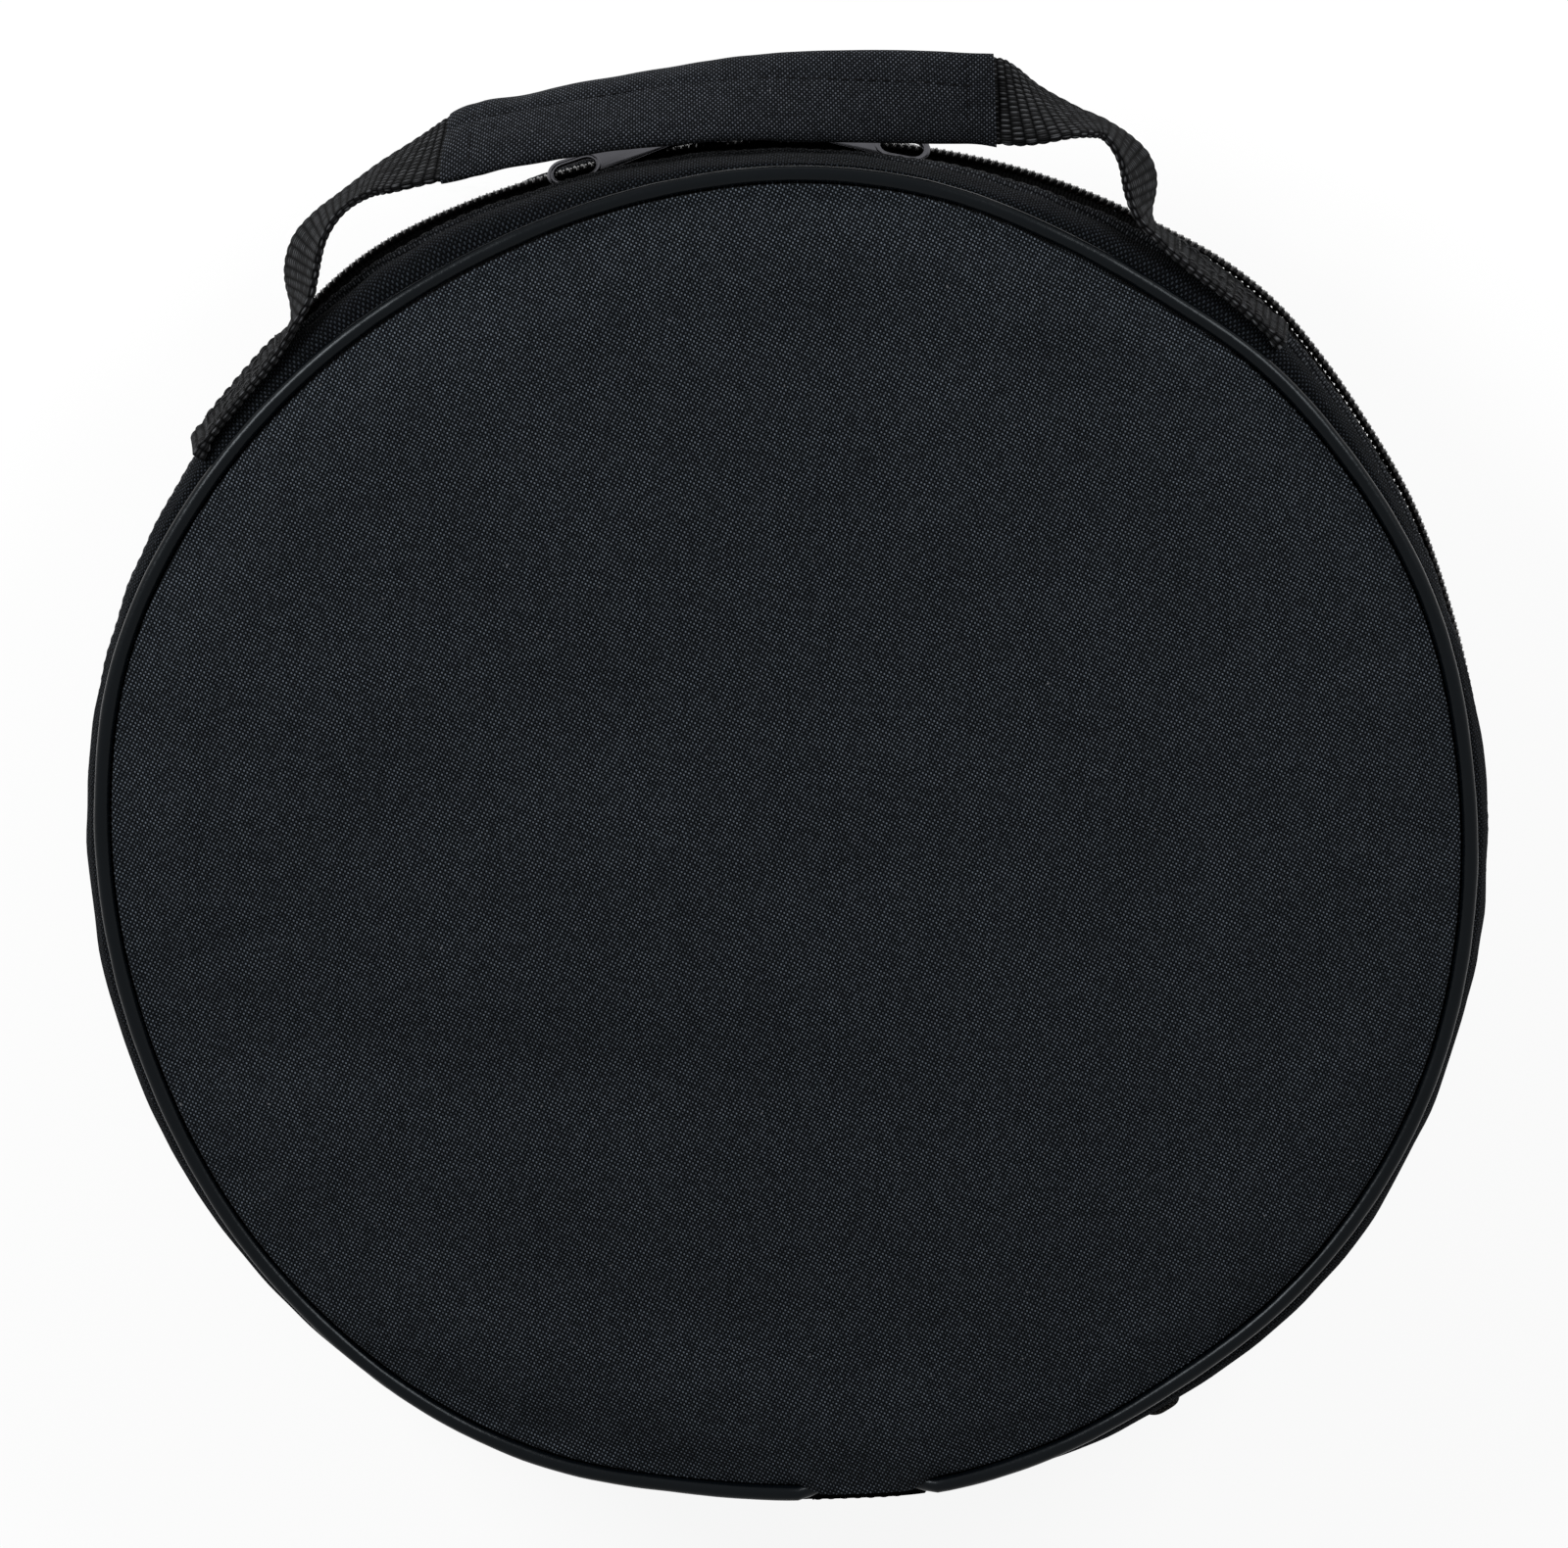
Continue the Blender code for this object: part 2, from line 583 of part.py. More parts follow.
def make_handle_grip():
    """Make the strap over the bag with its pads and its fabric sleeve."""
    first = TWIST_END_SHARE + CLEARANCE / HANDLE_RISE
    strap = lofted("handle_strap", whole_handle_rings(first, STRAP_STEPS, webbing_section()), "webbing")
    pad_first = share_at_side(PAD_HALF_LENGTH)
    pieces = [strap]
    for pad_name, side in (("upper", 1), ("lower", -1)):
        rings = whole_handle_rings(pad_first, SLEEVE_STEPS, pad_section(side))
        pieces.append(lofted("handle_pad_" + pad_name, rings, "foam"))
    sleeve_first = share_at_side(SLEEVE_HALF_LENGTH)
    outer = whole_handle_rings(sleeve_first, SLEEVE_STEPS, sleeve_section(0.0))
    inner = whole_handle_rings(sleeve_first, SLEEVE_STEPS, sleeve_section(SLEEVE_WALL))
    pieces.append(hollow_lofted("handle_sleeve", outer, inner, "outer_fabric"))
    return pieces


def slider_plate_outline():
    """Return a slider's plate from above: along the zip, and across it."""
    half_length, half_width = SLIDER_LENGTH / 2, SLIDER_WIDTH / 2
    upper = [(half_length * along, half_width * across) for along, across in SLIDER_OUTLINE_SHARES]
    return upper + [(along, -across) for along, across in reversed(upper)]


def plate_rings(outline, inner_radius, outer_radius, side):
    """Return the two rings of a plate that lies square to the radius at the top of the bag."""
    radii = (inner_radius, outer_radius)
    return [[(side * along, radius, across) for along, across in outline] for radius in radii]


def block_outline(along_low, along_high, across_low, across_high):
    """Return a rectangle, along the zip and across it."""
    return [
        (along_low, across_low),
        (along_high, across_low),
        (along_high, across_high),
        (along_low, across_high),
    ]


def bridge_rings(side):
    """Return the rings of the loop over a slider's top plate that holds its pull."""
    half_width = BRIDGE_WIDTH / 2
    half_thickness = BRIDGE_THICKNESS / 2
    rise = BRIDGE_RADIUS - SLIDER_TOP_RADIUS
    path = [
        Vector((side * BRIDGE_LENGTH / 2 * along, SLIDER_TOP_RADIUS + rise * up))
        for along, up in BRIDGE_PATH_SHARES
    ]
    rings = []
    for index, point in enumerate(path):
        before = path[max(index - 1, 0)]
        after = path[min(index + 1, len(path) - 1)]
        along = (after - before).normalized()
        normal = Vector((-along.y, along.x)) * half_thickness
        corners = ((point - normal, -half_width), (point + normal, -half_width))
        corners += ((point + normal, half_width), (point - normal, half_width))
        rings.append([(corner.x, corner.y, across) for corner, across in corners])
    return rings


def add_union(base, tool):
    """Join a hidden tool solid to a base solid."""
    tool.hide_render = True
    tool.display_type = "WIRE"
    tool.parent = base
    modifier = base.modifiers.new(tool.name, "BOOLEAN")
    modifier.operation = "UNION"
    modifier.solver = "EXACT"
    modifier.object = tool


def cut_with(base, tool):
    """Cut a hidden tool solid out of a base solid."""
    add_union(base, tool)
    base.modifiers[tool.name].operation = "DIFFERENCE"


def make_slider(name, side, angle):
    """Make one zip slider: two plates on a post, a flange beside the back coil, and the bridge."""
    plate = slider_plate_outline()
    nose = -SLIDER_LENGTH / 2
    half_width = SLIDER_WIDTH / 2
    half_post = SLIDER_POST_THICKNESS / 2
    post_start = nose + CLEARANCE
    post = block_outline(post_start, post_start + SLIDER_POST_LENGTH, -half_post, half_post)
    flange_start, flange_end = (SLIDER_LENGTH / 2 * share for share in FLANGE_LENGTH_SHARES)
    flange = block_outline(flange_start, flange_end, -half_width, SLIDER_FLANGE_THICKNESS - half_width)
    in_plate = SLIDER_PLATE_RADIUS + SLIDER_PLATE_THICKNESS / 2
    in_inner_plate = SLIDER_BACK_RADIUS - SLIDER_INNER_PLATE_THICKNESS / 2
    slider = lofted(name, plate_rings(plate, SLIDER_PLATE_RADIUS, SLIDER_TOP_RADIUS, side), "zip_metal")
    tools = (
        ("_inner_plate", plate_rings(plate, SLIDER_INNER_RADIUS, SLIDER_BACK_RADIUS, side)),
        ("_post", plate_rings(post, in_inner_plate, in_plate, side)),
        ("_flange", plate_rings(flange, COIL_RING_RADIUS - COIL_RADIUS, in_plate, side)),
        ("_bridge", bridge_rings(side)),
    )
    for tool_name, rings in tools:
        add_union(slider, lofted(name + tool_name, rings, "zip_metal"))
    slider.location.z = MIDDLE_HEIGHT
    slider.rotation_euler.z = angle - TOP_ANGLE
    return slider


def pull_outline(side):
    """Return a pull from above: narrow at its pivot, wide and round at its free end."""
    half_narrow, half_wide = PULL_NARROW_WIDTH / 2, PULL_WIDE_WIDTH / 2
    start = -PULL_THICKNESS / 2
    corner_centre = PULL_LENGTH - half_wide
    upper = [(start, half_narrow), (PULL_WINDOW_LENGTH, half_narrow)]
    for index in range(SLOT_END_STEPS + 1):
        turn = math.pi / 2 * (1 - index / (SLOT_END_STEPS + 0.5))
        upper.append((corner_centre + half_wide * math.cos(turn), half_wide * math.sin(turn)))
    outline = upper + [(along, -across) for along, across in reversed(upper)]
    return [(side * along, across) for along, across in outline]


def slot_outline(side):
    """Return the round-ended slot near a pull's free end."""
    radius = PULL_SLOT_WIDTH / 2
    far = PULL_LENGTH - PULL_SLOT_RIM - radius
    near = far - PULL_SLOT_LENGTH + PULL_SLOT_WIDTH
    points = []
    for centre, first in ((far, -math.pi / 2), (near, math.pi / 2)):
        for index in range(SLOT_END_STEPS + 1):
            turn = first + math.pi * index / SLOT_END_STEPS
            points.append((side * (centre + radius * math.cos(turn)), radius * math.sin(turn)))
    return points


def make_pull(name, side, slider):
    """Make one zip pull, hung on its slider's bridge by the bar behind its window."""
    half = PULL_THICKNESS / 2
    overrun = PULL_THICKNESS
    window_start = half
    window_end = window_start + PULL_WINDOW_LENGTH
    half_window = PULL_WINDOW_WIDTH / 2
    window = [
        (side * along, across)
        for along, across in block_outline(window_start, window_end, -half_window, half_window)
    ]
    pull = lofted(name, plate_rings(pull_outline(side), -half, half, 1), "zip_metal")
    for tool_name, outline in (("_window", window), ("_slot", slot_outline(side))):
        cut_with(pull, lofted(name + tool_name, plate_rings(outline, -overrun, overrun, 1), "zip_metal"))
    pull.parent = slider
    pull.location = (side * PULL_PIVOT_SHIFT, PULL_PIVOT_RADIUS, 0.0)
    pull.rotation_euler.z = -side * PULL_LEAN
    return pull


def make_zip_sliders():
    """Make both sliders, nose to nose where the zip is closed, each with its pull."""
    half_spacing = SLIDER_SPACING / 2 / COIL_RING_RADIUS
    for side_name, side in (("left", -1), ("right", 1)):
        angle = ZIP_MEETING_ANGLE - side * half_spacing
        slider = make_slider("zip_slider_" + side_name, side, angle)
        make_pull("zip_pull_" + side_name, side, slider)


def carry(name, location, pieces):
    """Hang pieces on an empty that stands on their joint's axis, where they are."""
    axis = bpy.data.objects.new(name, None)
    axis.location = location
    bpy.context.scene.collection.objects.link(axis)
    for piece in pieces:
        piece.parent = axis
        piece.matrix_parent_inverse = Matrix.Translation(location).inverted()
    return axis


def make_bag():
    """Make every piece and hang the moving ones on their axes."""
    clear_scene()
    make_tray("back")
    front = make_tray("front")
    make_hinge_strip()
    make_webbing_patch(
        "hinge_patch", BOTTOM_ANGLE, HINGE_PATCH_WIDTH, HINGE_PATCH_MARGIN, BAG_DEPTH - HINGE_PATCH_MARGIN
    )
    make_end_tab("zip_end_tab_left", -1)
    make_end_tab("zip_end_tab_right", 1)
    front += make_handle_sides()
    lid_axis = carry("lid_axis", Vector((0.0, LID_AXIS_Y, MIDDLE_HEIGHT)), front)
    handle_place = Vector((0.0, HANDLE_AXIS_Y, HANDLE_HEIGHT))
    handle_axis = carry("handle_axis", handle_place, make_handle_grip())
    handle_axis.parent = lid_axis
    handle_axis.matrix_parent_inverse = Matrix.Translation(lid_axis.location).inverted()
    make_zip_sliders()


make_bag()
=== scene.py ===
"""Looks of the round padded tambourine bag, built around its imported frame.

Sizes are in metres. Angles are in degrees round the bag's axis, from +X towards the handle at +Y.
A depth is measured from a tray's own face, so both trays are made by the same functions.
"""

import math

import bmesh
import bpy
import numpy as np
from mathutils import Matrix, Vector, noise


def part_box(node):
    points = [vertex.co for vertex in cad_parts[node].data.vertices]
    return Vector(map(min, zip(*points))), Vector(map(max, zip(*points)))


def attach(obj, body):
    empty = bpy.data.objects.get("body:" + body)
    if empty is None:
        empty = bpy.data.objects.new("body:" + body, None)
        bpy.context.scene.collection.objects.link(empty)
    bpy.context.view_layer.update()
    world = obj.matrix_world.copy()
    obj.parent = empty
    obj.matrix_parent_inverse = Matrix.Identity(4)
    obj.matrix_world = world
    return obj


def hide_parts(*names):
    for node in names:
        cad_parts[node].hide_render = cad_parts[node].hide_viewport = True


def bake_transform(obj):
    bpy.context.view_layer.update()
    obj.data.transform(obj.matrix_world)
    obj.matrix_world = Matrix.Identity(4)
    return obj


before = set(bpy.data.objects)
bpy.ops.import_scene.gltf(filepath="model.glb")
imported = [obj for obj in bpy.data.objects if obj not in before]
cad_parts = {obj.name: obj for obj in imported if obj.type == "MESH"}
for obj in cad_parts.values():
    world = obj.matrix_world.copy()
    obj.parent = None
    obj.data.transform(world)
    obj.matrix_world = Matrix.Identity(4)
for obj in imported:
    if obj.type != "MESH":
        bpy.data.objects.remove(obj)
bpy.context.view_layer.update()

# Camera, at the photograph's angle
VIEW_TILT = math.radians(11.0)
VIEW_TURN = math.radians(6.0)
VIEW_DISTANCE = 1.75
VIEW_WIDTH = 0.3715
VIEW_AIM = Vector((0.00136, 0.0185, 0.0585))
SENSOR_WIDTH = 36.0

# Driving sizes and places, as in the frame
BAG_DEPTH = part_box("front_panel")[1][2]
MIDDLE_HEIGHT = BAG_DEPTH / 2
PIPING_RING_RADIUS = 0.1615
GUSSET_RING_RADIUS = 0.1655
FOLD_RING_RADIUS = GUSSET_RING_RADIUS + 0.0006
COIL_RING_RADIUS = 0.1658
ZIP_START = -61.2
ZIP_END = 241.2
HINGE_EDGE = -63.4
BOTTOM = -90.0
RING_STEPS = 360
ZIP_STEPS = 330

# The back tray has a share of the front tray's unevenness, shifted round by an angle
BACK_SHARE = 0.35
BACK_SHIFT = 23.0

# Panel, piping and lining
PIPING_RADIUS = 0.0019
PIPING_DEPTH = 0.0055
SEAM_INSET = 0.0023
SEAM_DEPTH = 0.0052
PANEL_ROUNDING = 0.024
PANEL_CROWN = 0.0008
PANEL_BACK_DEPTH = 0.0075
PANEL_STEPS = 128
LINING_DEPTH = 0.0079
LINING_RADIUS = 0.1586
LINING_STEPS = 60
BINDING_INSET = 0.0011
BINDING_RADIUS_MOST = 0.1606

# How the panels' cloth swells over its foam
SWELL_FRAMES = 20
SWELL_PRESSURE = 3.0
SWELL_BENDING = 0.5
SWELL_SLACK = 0.02
SWELL_RIM = 0.02
SWELL_REACH = 0.0012

# Gusset and zip
FABRIC_THICKNESS = 0.001
FOLD_DEPTH = 0.0231
# Faces of the gusset's outline round its folded edge, which take the hem cloth's painted highlight
HEM_FIRST = 9
HEM_LAST = 14
TAPE_START_DEPTH = 0.0172
TAPE_EDGE_DEPTH = 0.0317
TAPE_THICKNESS = 0.0006
TAPE_INSET = 0.0013
COIL_PITCH = 0.00179
COIL_TURN_POINTS = 14
COIL_SLANT = 0.11
COIL_WIRE_RADIUS = 0.00037
COIL_CENTRE_DEPTH = 0.031
COIL_STAND = 0.0001
COIL_HALF_WIDTH = 0.0019
COIL_HALF_HEIGHT = 0.00072
COIL_CORD_HALF_WIDTH = 0.0015
COIL_CORD_HALF_HEIGHT = 0.0007

# Handle, with the x of its sleeve's ends and the places of the sleeve's seams
HANDLE_HEIGHT = 0.0466
WEBBING_WIDTH = 0.0197
WEBBING_THICKNESS = 0.0019
WEBBING_PITCH = 0.0022
ROUTE_STEP = WEBBING_PITCH / 4
SLEEVE_LEFT = -0.0624
SLEEVE_RIGHT = 0.0673
SLEEVE_HALF_WIDTH = 0.0109
SLEEVE_HALF_THICKNESS = 0.0033
SLEEVE_SEAM_SHARE = -0.34
SLEEVE_CROSS_INSET = 0.0068
SLEEVE_SIDES = 26

# Shares of a stitch's length, and how thick its thread is there
STITCH_SHAPE = ((0.0, 0.35), (0.14, 0.9), (0.38, 1.0), (0.62, 1.0), (0.86, 0.9), (1.0, 0.35))

# Hinge strip, hinge patch, and the tabs over the zip's ends: angle, half length, how far each
# stands out, and how square its outer side is
HINGE_STRIP_SAG = 0.0022
HINGE_STRIP_THICKNESS = 0.0009
PATCH_LEFT = -0.0132
PATCH_RIGHT = 0.017
PATCH_MARGIN = 0.0085
END_TABS = {"right": (-63.7, 0.0064, 0.0096, 5.0), "left": (244.0, 0.006, 0.0046, 2.6)}
TAB_LOW = 0.0205
TAB_HIGH = 0.0286

# Zip sliders, with the side that each lies on and its angle, and pulls
SLIDERS = {"left": (-1, 90.177), "right": (1, 85.823)}
SLIDER_TOP_RADIUS = 0.1688
PULL_PIVOT_RADIUS = 0.170293
PULL_PIVOT_SHIFT = 0.0016
PULL_LENGTH = 0.0385
PULL_THICKNESS = 0.0013
PULL_RIM_THICKNESS = 0.0016
PULL_LEAN = math.radians(12.0)
PULL_TWIST = math.radians(45.0)
PULL_YAW = math.radians(5.2)

# Floor and light
WHITE = (1.0, 1.0, 1.0, 1.0)
FLOOR_REACH = 3.0
FLOOR_DROP = 0.0004
FLOOR_GLOW = 0.9
WORLD_LIGHT = 0.25
LAMP_SIZE = 0.45
LAMP_AIM = (0.0, 0.0, 0.03)
LAMPS = {"lamp_left": ((-0.78, 0.72, 0.62), 14.5), "lamp_right": ((0.85, 0.62, 0.62), 9.5)}

# Radius of the front piping at angles round the bag
PIPING_CURVE = (
    (0, 0.1622), (16, 0.1629), (30, 0.1619), (40, 0.1613), (50, 0.1593), (60, 0.1596), (71, 0.1611),
    (84, 0.1612), (94, 0.1602), (113, 0.1592), (128, 0.1606), (142, 0.1623), (159, 0.164), (170, 0.1627),
    (193, 0.1606), (214, 0.1611), (244, 0.1608), (255, 0.1585), (263, 0.1583), (270, 0.159), (276, 0.1604),
    (286, 0.161), (300, 0.1608), (312, 0.1625), (335, 0.1634), (348, 0.1626),
)

# Radius of the front gusset's folded edge
FOLD_CURVE = (
    (0, 0.167), (8, 0.1668), (14, 0.1662), (22, 0.1662), (30, 0.1668), (40, 0.1675), (54, 0.1657),
    (70, 0.1647), (92, 0.1648), (106, 0.1659), (122, 0.1671), (142, 0.1674), (160, 0.1672), (182, 0.1661),
    (203, 0.1658), (224, 0.1652), (236, 0.165), (246, 0.1638), (256, 0.1618), (264, 0.1614), (271, 0.162),
    (277, 0.1636), (286, 0.1652), (300, 0.1666), (314, 0.1686), (330, 0.1678), (345, 0.1673),
)

# How far the zip's chain stands out of its ring
CHAIN_CURVE = (
    (0, 0.0011), (14, 0.0016), (22, 0.0029), (30, 0.0036), (36, 0.0049), (42, 0.0062), (47, 0.0058),
    (52, 0.0044), (64, 0.0024), (72, 0.0012), (84, 0.0), (96, 0.0003), (103, 0.0009), (110, 0.0026),
    (120, 0.0047), (130, 0.003), (141, 0.0011), (160, 0.0008), (180, 0.001), (210, 0.0008), (240, 0.0),
    (300, 0.0), (330, 0.0012),
)

# Centre line of the handle's webbing from its left sewn end to its right one: x, y, the degrees
# that the front edge leans out of the bag, and how far the cloth runs askew along it
HANDLE_ROUTE = (
    (-0.1289, 0.1086, -7, 0), (-0.125, 0.1136, -7, 0), (-0.1212, 0.1174, -7, 0), (-0.1143, 0.124, -7, 0),
    (-0.1079, 0.13, -6, 0), (-0.103, 0.135, -2, 0), (-0.1016, 0.1385, -8, 0), (-0.1003, 0.1432, -19, 0),
    (-0.0993, 0.1482, -23, 0), (-0.0973, 0.1534, -21, 0), (-0.0937, 0.1583, -13, 0),
    (-0.0882, 0.1629, -6, 0), (-0.08, 0.1675, -9, -0.2), (-0.0716, 0.1706, -20, -0.5),
    (-0.062, 0.1733, -35, -0.3), (-0.0375, 0.1762, -40, -0.15), (-0.0143, 0.1776, -46, -0.1),
    (0.0089, 0.1777, -57, 0), (0.0317, 0.1757, -76, 0.05), (0.05, 0.1736, -87, 0.1),
    (0.0666, 0.1711, -90, 0.14), (0.0745, 0.1691, -50, 0.4), (0.0816, 0.1667, -19, 0.5),
    (0.0874, 0.164, -7, 0.3), (0.0921, 0.1614, -5, 0), (0.0962, 0.1568, -12, 0), (0.0984, 0.1523, -20, 0),
    (0.0991, 0.1484, -22, 0), (0.0992, 0.1445, -18, 0), (0.0994, 0.141, -11, 0), (0.1007, 0.1374, -3, 0),
    (0.105, 0.1327, -5, 0), (0.1108, 0.1274, -7, 0), (0.1172, 0.1215, -7, 0), (0.1234, 0.1151, -7, 0),
    (0.1294, 0.1081, -7, 0),
)

# Creases and dents in the front panel: x and y of the start and the end, half width and depth
PANEL_CREASES = (
    ((-0.073, -0.006), (0.058, -0.008), 0.005, 0.00022),
    ((-0.15, -0.012), (-0.128, -0.008), 0.0032, 0.0006),
    ((-0.145, -0.03), (-0.04, -0.052), 0.013, 0.0013),
    ((-0.105, -0.085), (-0.02, -0.118), 0.014, 0.0012),
    ((0.06, -0.12), (0.105, -0.07), 0.015, 0.0009),
    ((0.135, 0.05), (0.11, 0.038), 0.004, 0.0004),
    ((0.02, 0.122), (0.09, 0.098), 0.012, 0.0008),
    ((0.156, 0.037), (0.134, 0.031), 0.0035, 0.00055),
    ((-0.157, -0.018), (-0.14, -0.021), 0.003, 0.00045),
)


def linked(name, data):
    """Make an object of some data, and put it into the scene."""
    thing = bpy.data.objects.new(name, data)
    bpy.context.scene.collection.objects.link(thing)
    return thing


def make_camera():
    """Place the camera at the photograph's viewing angle."""
    up_the_bag = Vector((math.sin(VIEW_TURN), math.cos(VIEW_TURN), 0.0))
    right = Vector((math.cos(VIEW_TURN), -math.sin(VIEW_TURN), 0.0))
    back = up_the_bag * math.sin(VIEW_TILT) + Vector((0.0, 0.0, math.cos(VIEW_TILT)))
    data = bpy.data.cameras.new("camera")
    data.sensor_fit = "HORIZONTAL"
    data.sensor_width = SENSOR_WIDTH
    data.lens = SENSOR_WIDTH * VIEW_DISTANCE / VIEW_WIDTH
    camera = linked("camera", data)
    axes = (right, back.cross(right), back, VIEW_AIM + back * VIEW_DISTANCE)
    camera.matrix_world = Matrix([[axis[row] for axis in axes] for row in range(3)] + [[0, 0, 0, 1]])
    bpy.context.scene.camera = camera


make_camera()


# Nodes of the materials

def add(tree, kind, inputs=None, **settings):
    """Add a shader node, with values or sockets at its inputs, and return its outputs."""
    made = tree.nodes.new("ShaderNode" + kind)
    for name, value in settings.items():
        setattr(made, name, value)
    for name, value in (inputs or {}).items():
        if isinstance(value, bpy.types.NodeSocket):
            tree.links.new(value, made.inputs[name])
        else:
            made.inputs[name].default_value = value
    return made.outputs


def calc(tree, operation, *values):
    """Return the result of a math node."""
    return add(tree, "Math", dict(enumerate(values)), operation=operation)[0]


def blend_color(tree, share, first, second, kind="MIX"):
    """Return the mix of two colours."""
    return add(tree, "Mix", {0: share, 6: first, 7: second}, data_type="RGBA", blend_type=kind)[2]


def blend_number(tree, share, first, second):
    """Return the mix of two numbers."""
    return add(tree, "Mix", {0: share, 2: first, 3: second}, data_type="FLOAT")[0]


def spread(tree, value, low, high, start=0.0, end=1.0):
    """Return a value stretched from one pair of numbers to another, and held between these."""
    inputs = {"Value": value, "From Min": start, "From Max": end, "To Min": low, "To Max": high}
    return add(tree, "MapRange", inputs)[0]


def mottle(tree, place, size, detail=3.0):
    """Return soft noise from 0 to 1 whose patches have a size in metres."""
    return add(tree, "TexNoise", {"Vector": place, "Scale": 1.0 / size, "Detail": detail})[0]


def wobbled(tree, place, size, reach):
    """Return the place moved a little, so that threads don't run quite straight."""
    color = add(tree, "TexNoise", {"Vector": place, "Scale": 1.0 / size})["Color"]
    centred = add(tree, "VectorMath", {0: color, 1: (0.5, 0.5, 0.5)}, operation="SUBTRACT")[0]
    moved = add(tree, "VectorMath", {0: centred, "Scale": reach}, operation="SCALE")[0]
    return add(tree, "VectorMath", {0: place, 1: moved}, operation="ADD")[0]


def thread_counts(tree, place, along, across, turn=0.0):
    """Return the place counted in threads of two widths, and the waves that they make."""
    inputs = {"Vector": place, "Rotation": (0.0, 0.0, math.radians(turn)), "Scale": (along, across, 1.0)}
    counts = add(tree, "SeparateXYZ", {0: add(tree, "Mapping", inputs, vector_type="TEXTURE")[0]})[:2]
    return counts, [calc(tree, "SINE", calc(tree, "MULTIPLY", count, math.pi)) for count in counts]


def weave(tree, place, along, across, turn, bend, reach):
    """Return a plain weave's height from 0 to 1, 1 where the first thread is on top, and chance."""
    counts, waves = thread_counts(tree, wobbled(tree, place, bend, reach), along, across, turn)
    over = calc(tree, "GREATER_THAN", calc(tree, "MULTIPLY", *waves), 0.0)
    rounds = [calc(tree, "ABSOLUTE", wave) for wave in waves]
    tops = []
    for one, other in (rounds, rounds[::-1]):
        tops.append(calc(tree, "MULTIPLY", one, calc(tree, "POWER", other, 0.5)))
    crossing = add(tree, "CombineXYZ", {axis: calc(tree, "FLOOR", counts[axis]) for axis in (0, 1)})[0]
    chance = add(tree, "TexWhiteNoise", {"Vector": crossing}, noise_dimensions="2D")["Value"]
    return blend_number(tree, over, tops[1], tops[0]), over, chance


def shader_of(name, **values):
    """Start a material, and return it with its tree, its shader and the place on the cloth."""
    material = bpy.data.materials.new(name)
    material.use_nodes = True
    tree = material.node_tree
    shader = tree.nodes["Principled BSDF"]
    for key, value in values.items():
        shader.inputs[key.replace("_", " ")].default_value = value
    return material, tree, shader, add(tree, "Attribute", attribute_name="cloth")["Vector"]


def finish_shader(tree, shader, color, rough, height, relief):
    """Give a shader its colour, its roughness and its relief in metres."""
    tree.links.new(color, shader.inputs["Base Color"])
    tree.links.new(rough, shader.inputs["Roughness"])
    bump = add(tree, "Bump", {"Height": height, "Distance": relief, "Strength": 1.0})[0]
    tree.links.new(bump, shader.inputs["Normal"])


def fabric(name, dark, light, threads, relief, under=0.1, chance=0.35, sharp=1.5, shine=0.02, rough=0.85):
    """Make a cloth: gaps darkened as painted shade, painted glints of uneven brightness on thread tops,
    uneven dye, and lint.

    Its threads are those of a weave, or the width of ribs.
    """
    values = {"Specular_IOR_Level": shine, "Sheen_Weight": 0.02, "Sheen_Roughness": 0.5}
    material, tree, shader, place = shader_of(name, **values)
    grain = mottle(tree, place, 0.0009)
    if isinstance(threads, tuple):
        height, over, luck = weave(tree, place, *threads)
        lots = spread(tree, luck, 1.0 - chance, 1.0 + chance)
        uneven = calc(tree, "MULTIPLY", spread(tree, over, under, 1.0), lots)
    else:
        height = calc(tree, "ABSOLUTE", thread_counts(tree, place, threads, threads)[1][0])
        uneven = 1.0
    # Painted glints: thread tops lighter towards their crowns, over the near-black of the gaps, which holds
    # painted shade
    lit = calc(tree, "MULTIPLY", calc(tree, "POWER", height, sharp), spread(tree, grain, 0.75, 1.25))
    color = blend_color(tree, calc(tree, "MULTIPLY", lit, uneven), (*dark, 1.0), (*light, 1.0))
    shade = spread(tree, mottle(tree, place, 0.035), 0.8, 1.2)
    shades = add(tree, "CombineColor", {0: shade, 1: shade, 2: shade})[0]
    color = blend_color(tree, 1.0, color, shades, "MULTIPLY")
    specks = spread(tree, mottle(tree, place, 0.0013, 1.0), 0.0, 0.6, 0.78, 0.82)
    color = blend_color(tree, specks, color, (0.16, 0.16, 0.17, 1.0))
    fuzzy = calc(tree, "ADD", height, calc(tree, "MULTIPLY", grain, 0.5))
    finish_shader(tree, shader, color, spread(tree, grain, rough - 0.08, rough + 0.08), fuzzy, relief)
    return material


def smooth(name, color, rough, relief, grain_size, patch=0.02, detail=3.0, light=1.25, **values):
    """Make vinyl, nylon, thread or metal, whose colour and surface are faintly uneven."""
    material, tree, shader, place = shader_of(name, **values)
    shades = [(*(part * share for part in color), 1.0) for share in (0.8, light)]
    mixed = blend_color(tree, mottle(tree, place, patch, detail), *shades)
    grain = mottle(tree, place, grain_size, detail)
    finish_shader(tree, shader, mixed, spread(tree, grain, *rough), grain, relief)
    return material


# Weaves: widths along and across, turn in degrees, and how the threads wander
PANEL_WEAVE = (0.000615, 0.000615, 11, 0.006, 0.0002)
GUSSET_WEAVE = (0.00067, 0.00068, 3, 0.004, 0.0003)
SLEEVE_WEAVE = (0.00061, 0.00058, 0, 0.004, 0.0002)
LINING_WEAVE = (0.00045, 0.00045, 0, 0.004, 0.0)
WEBBING_WEAVE = (WEBBING_PITCH, 0.00063, 0, 0.006, 0.0003)
TAPE_RIB = 0.0009
BINDING_RIB = 0.0007
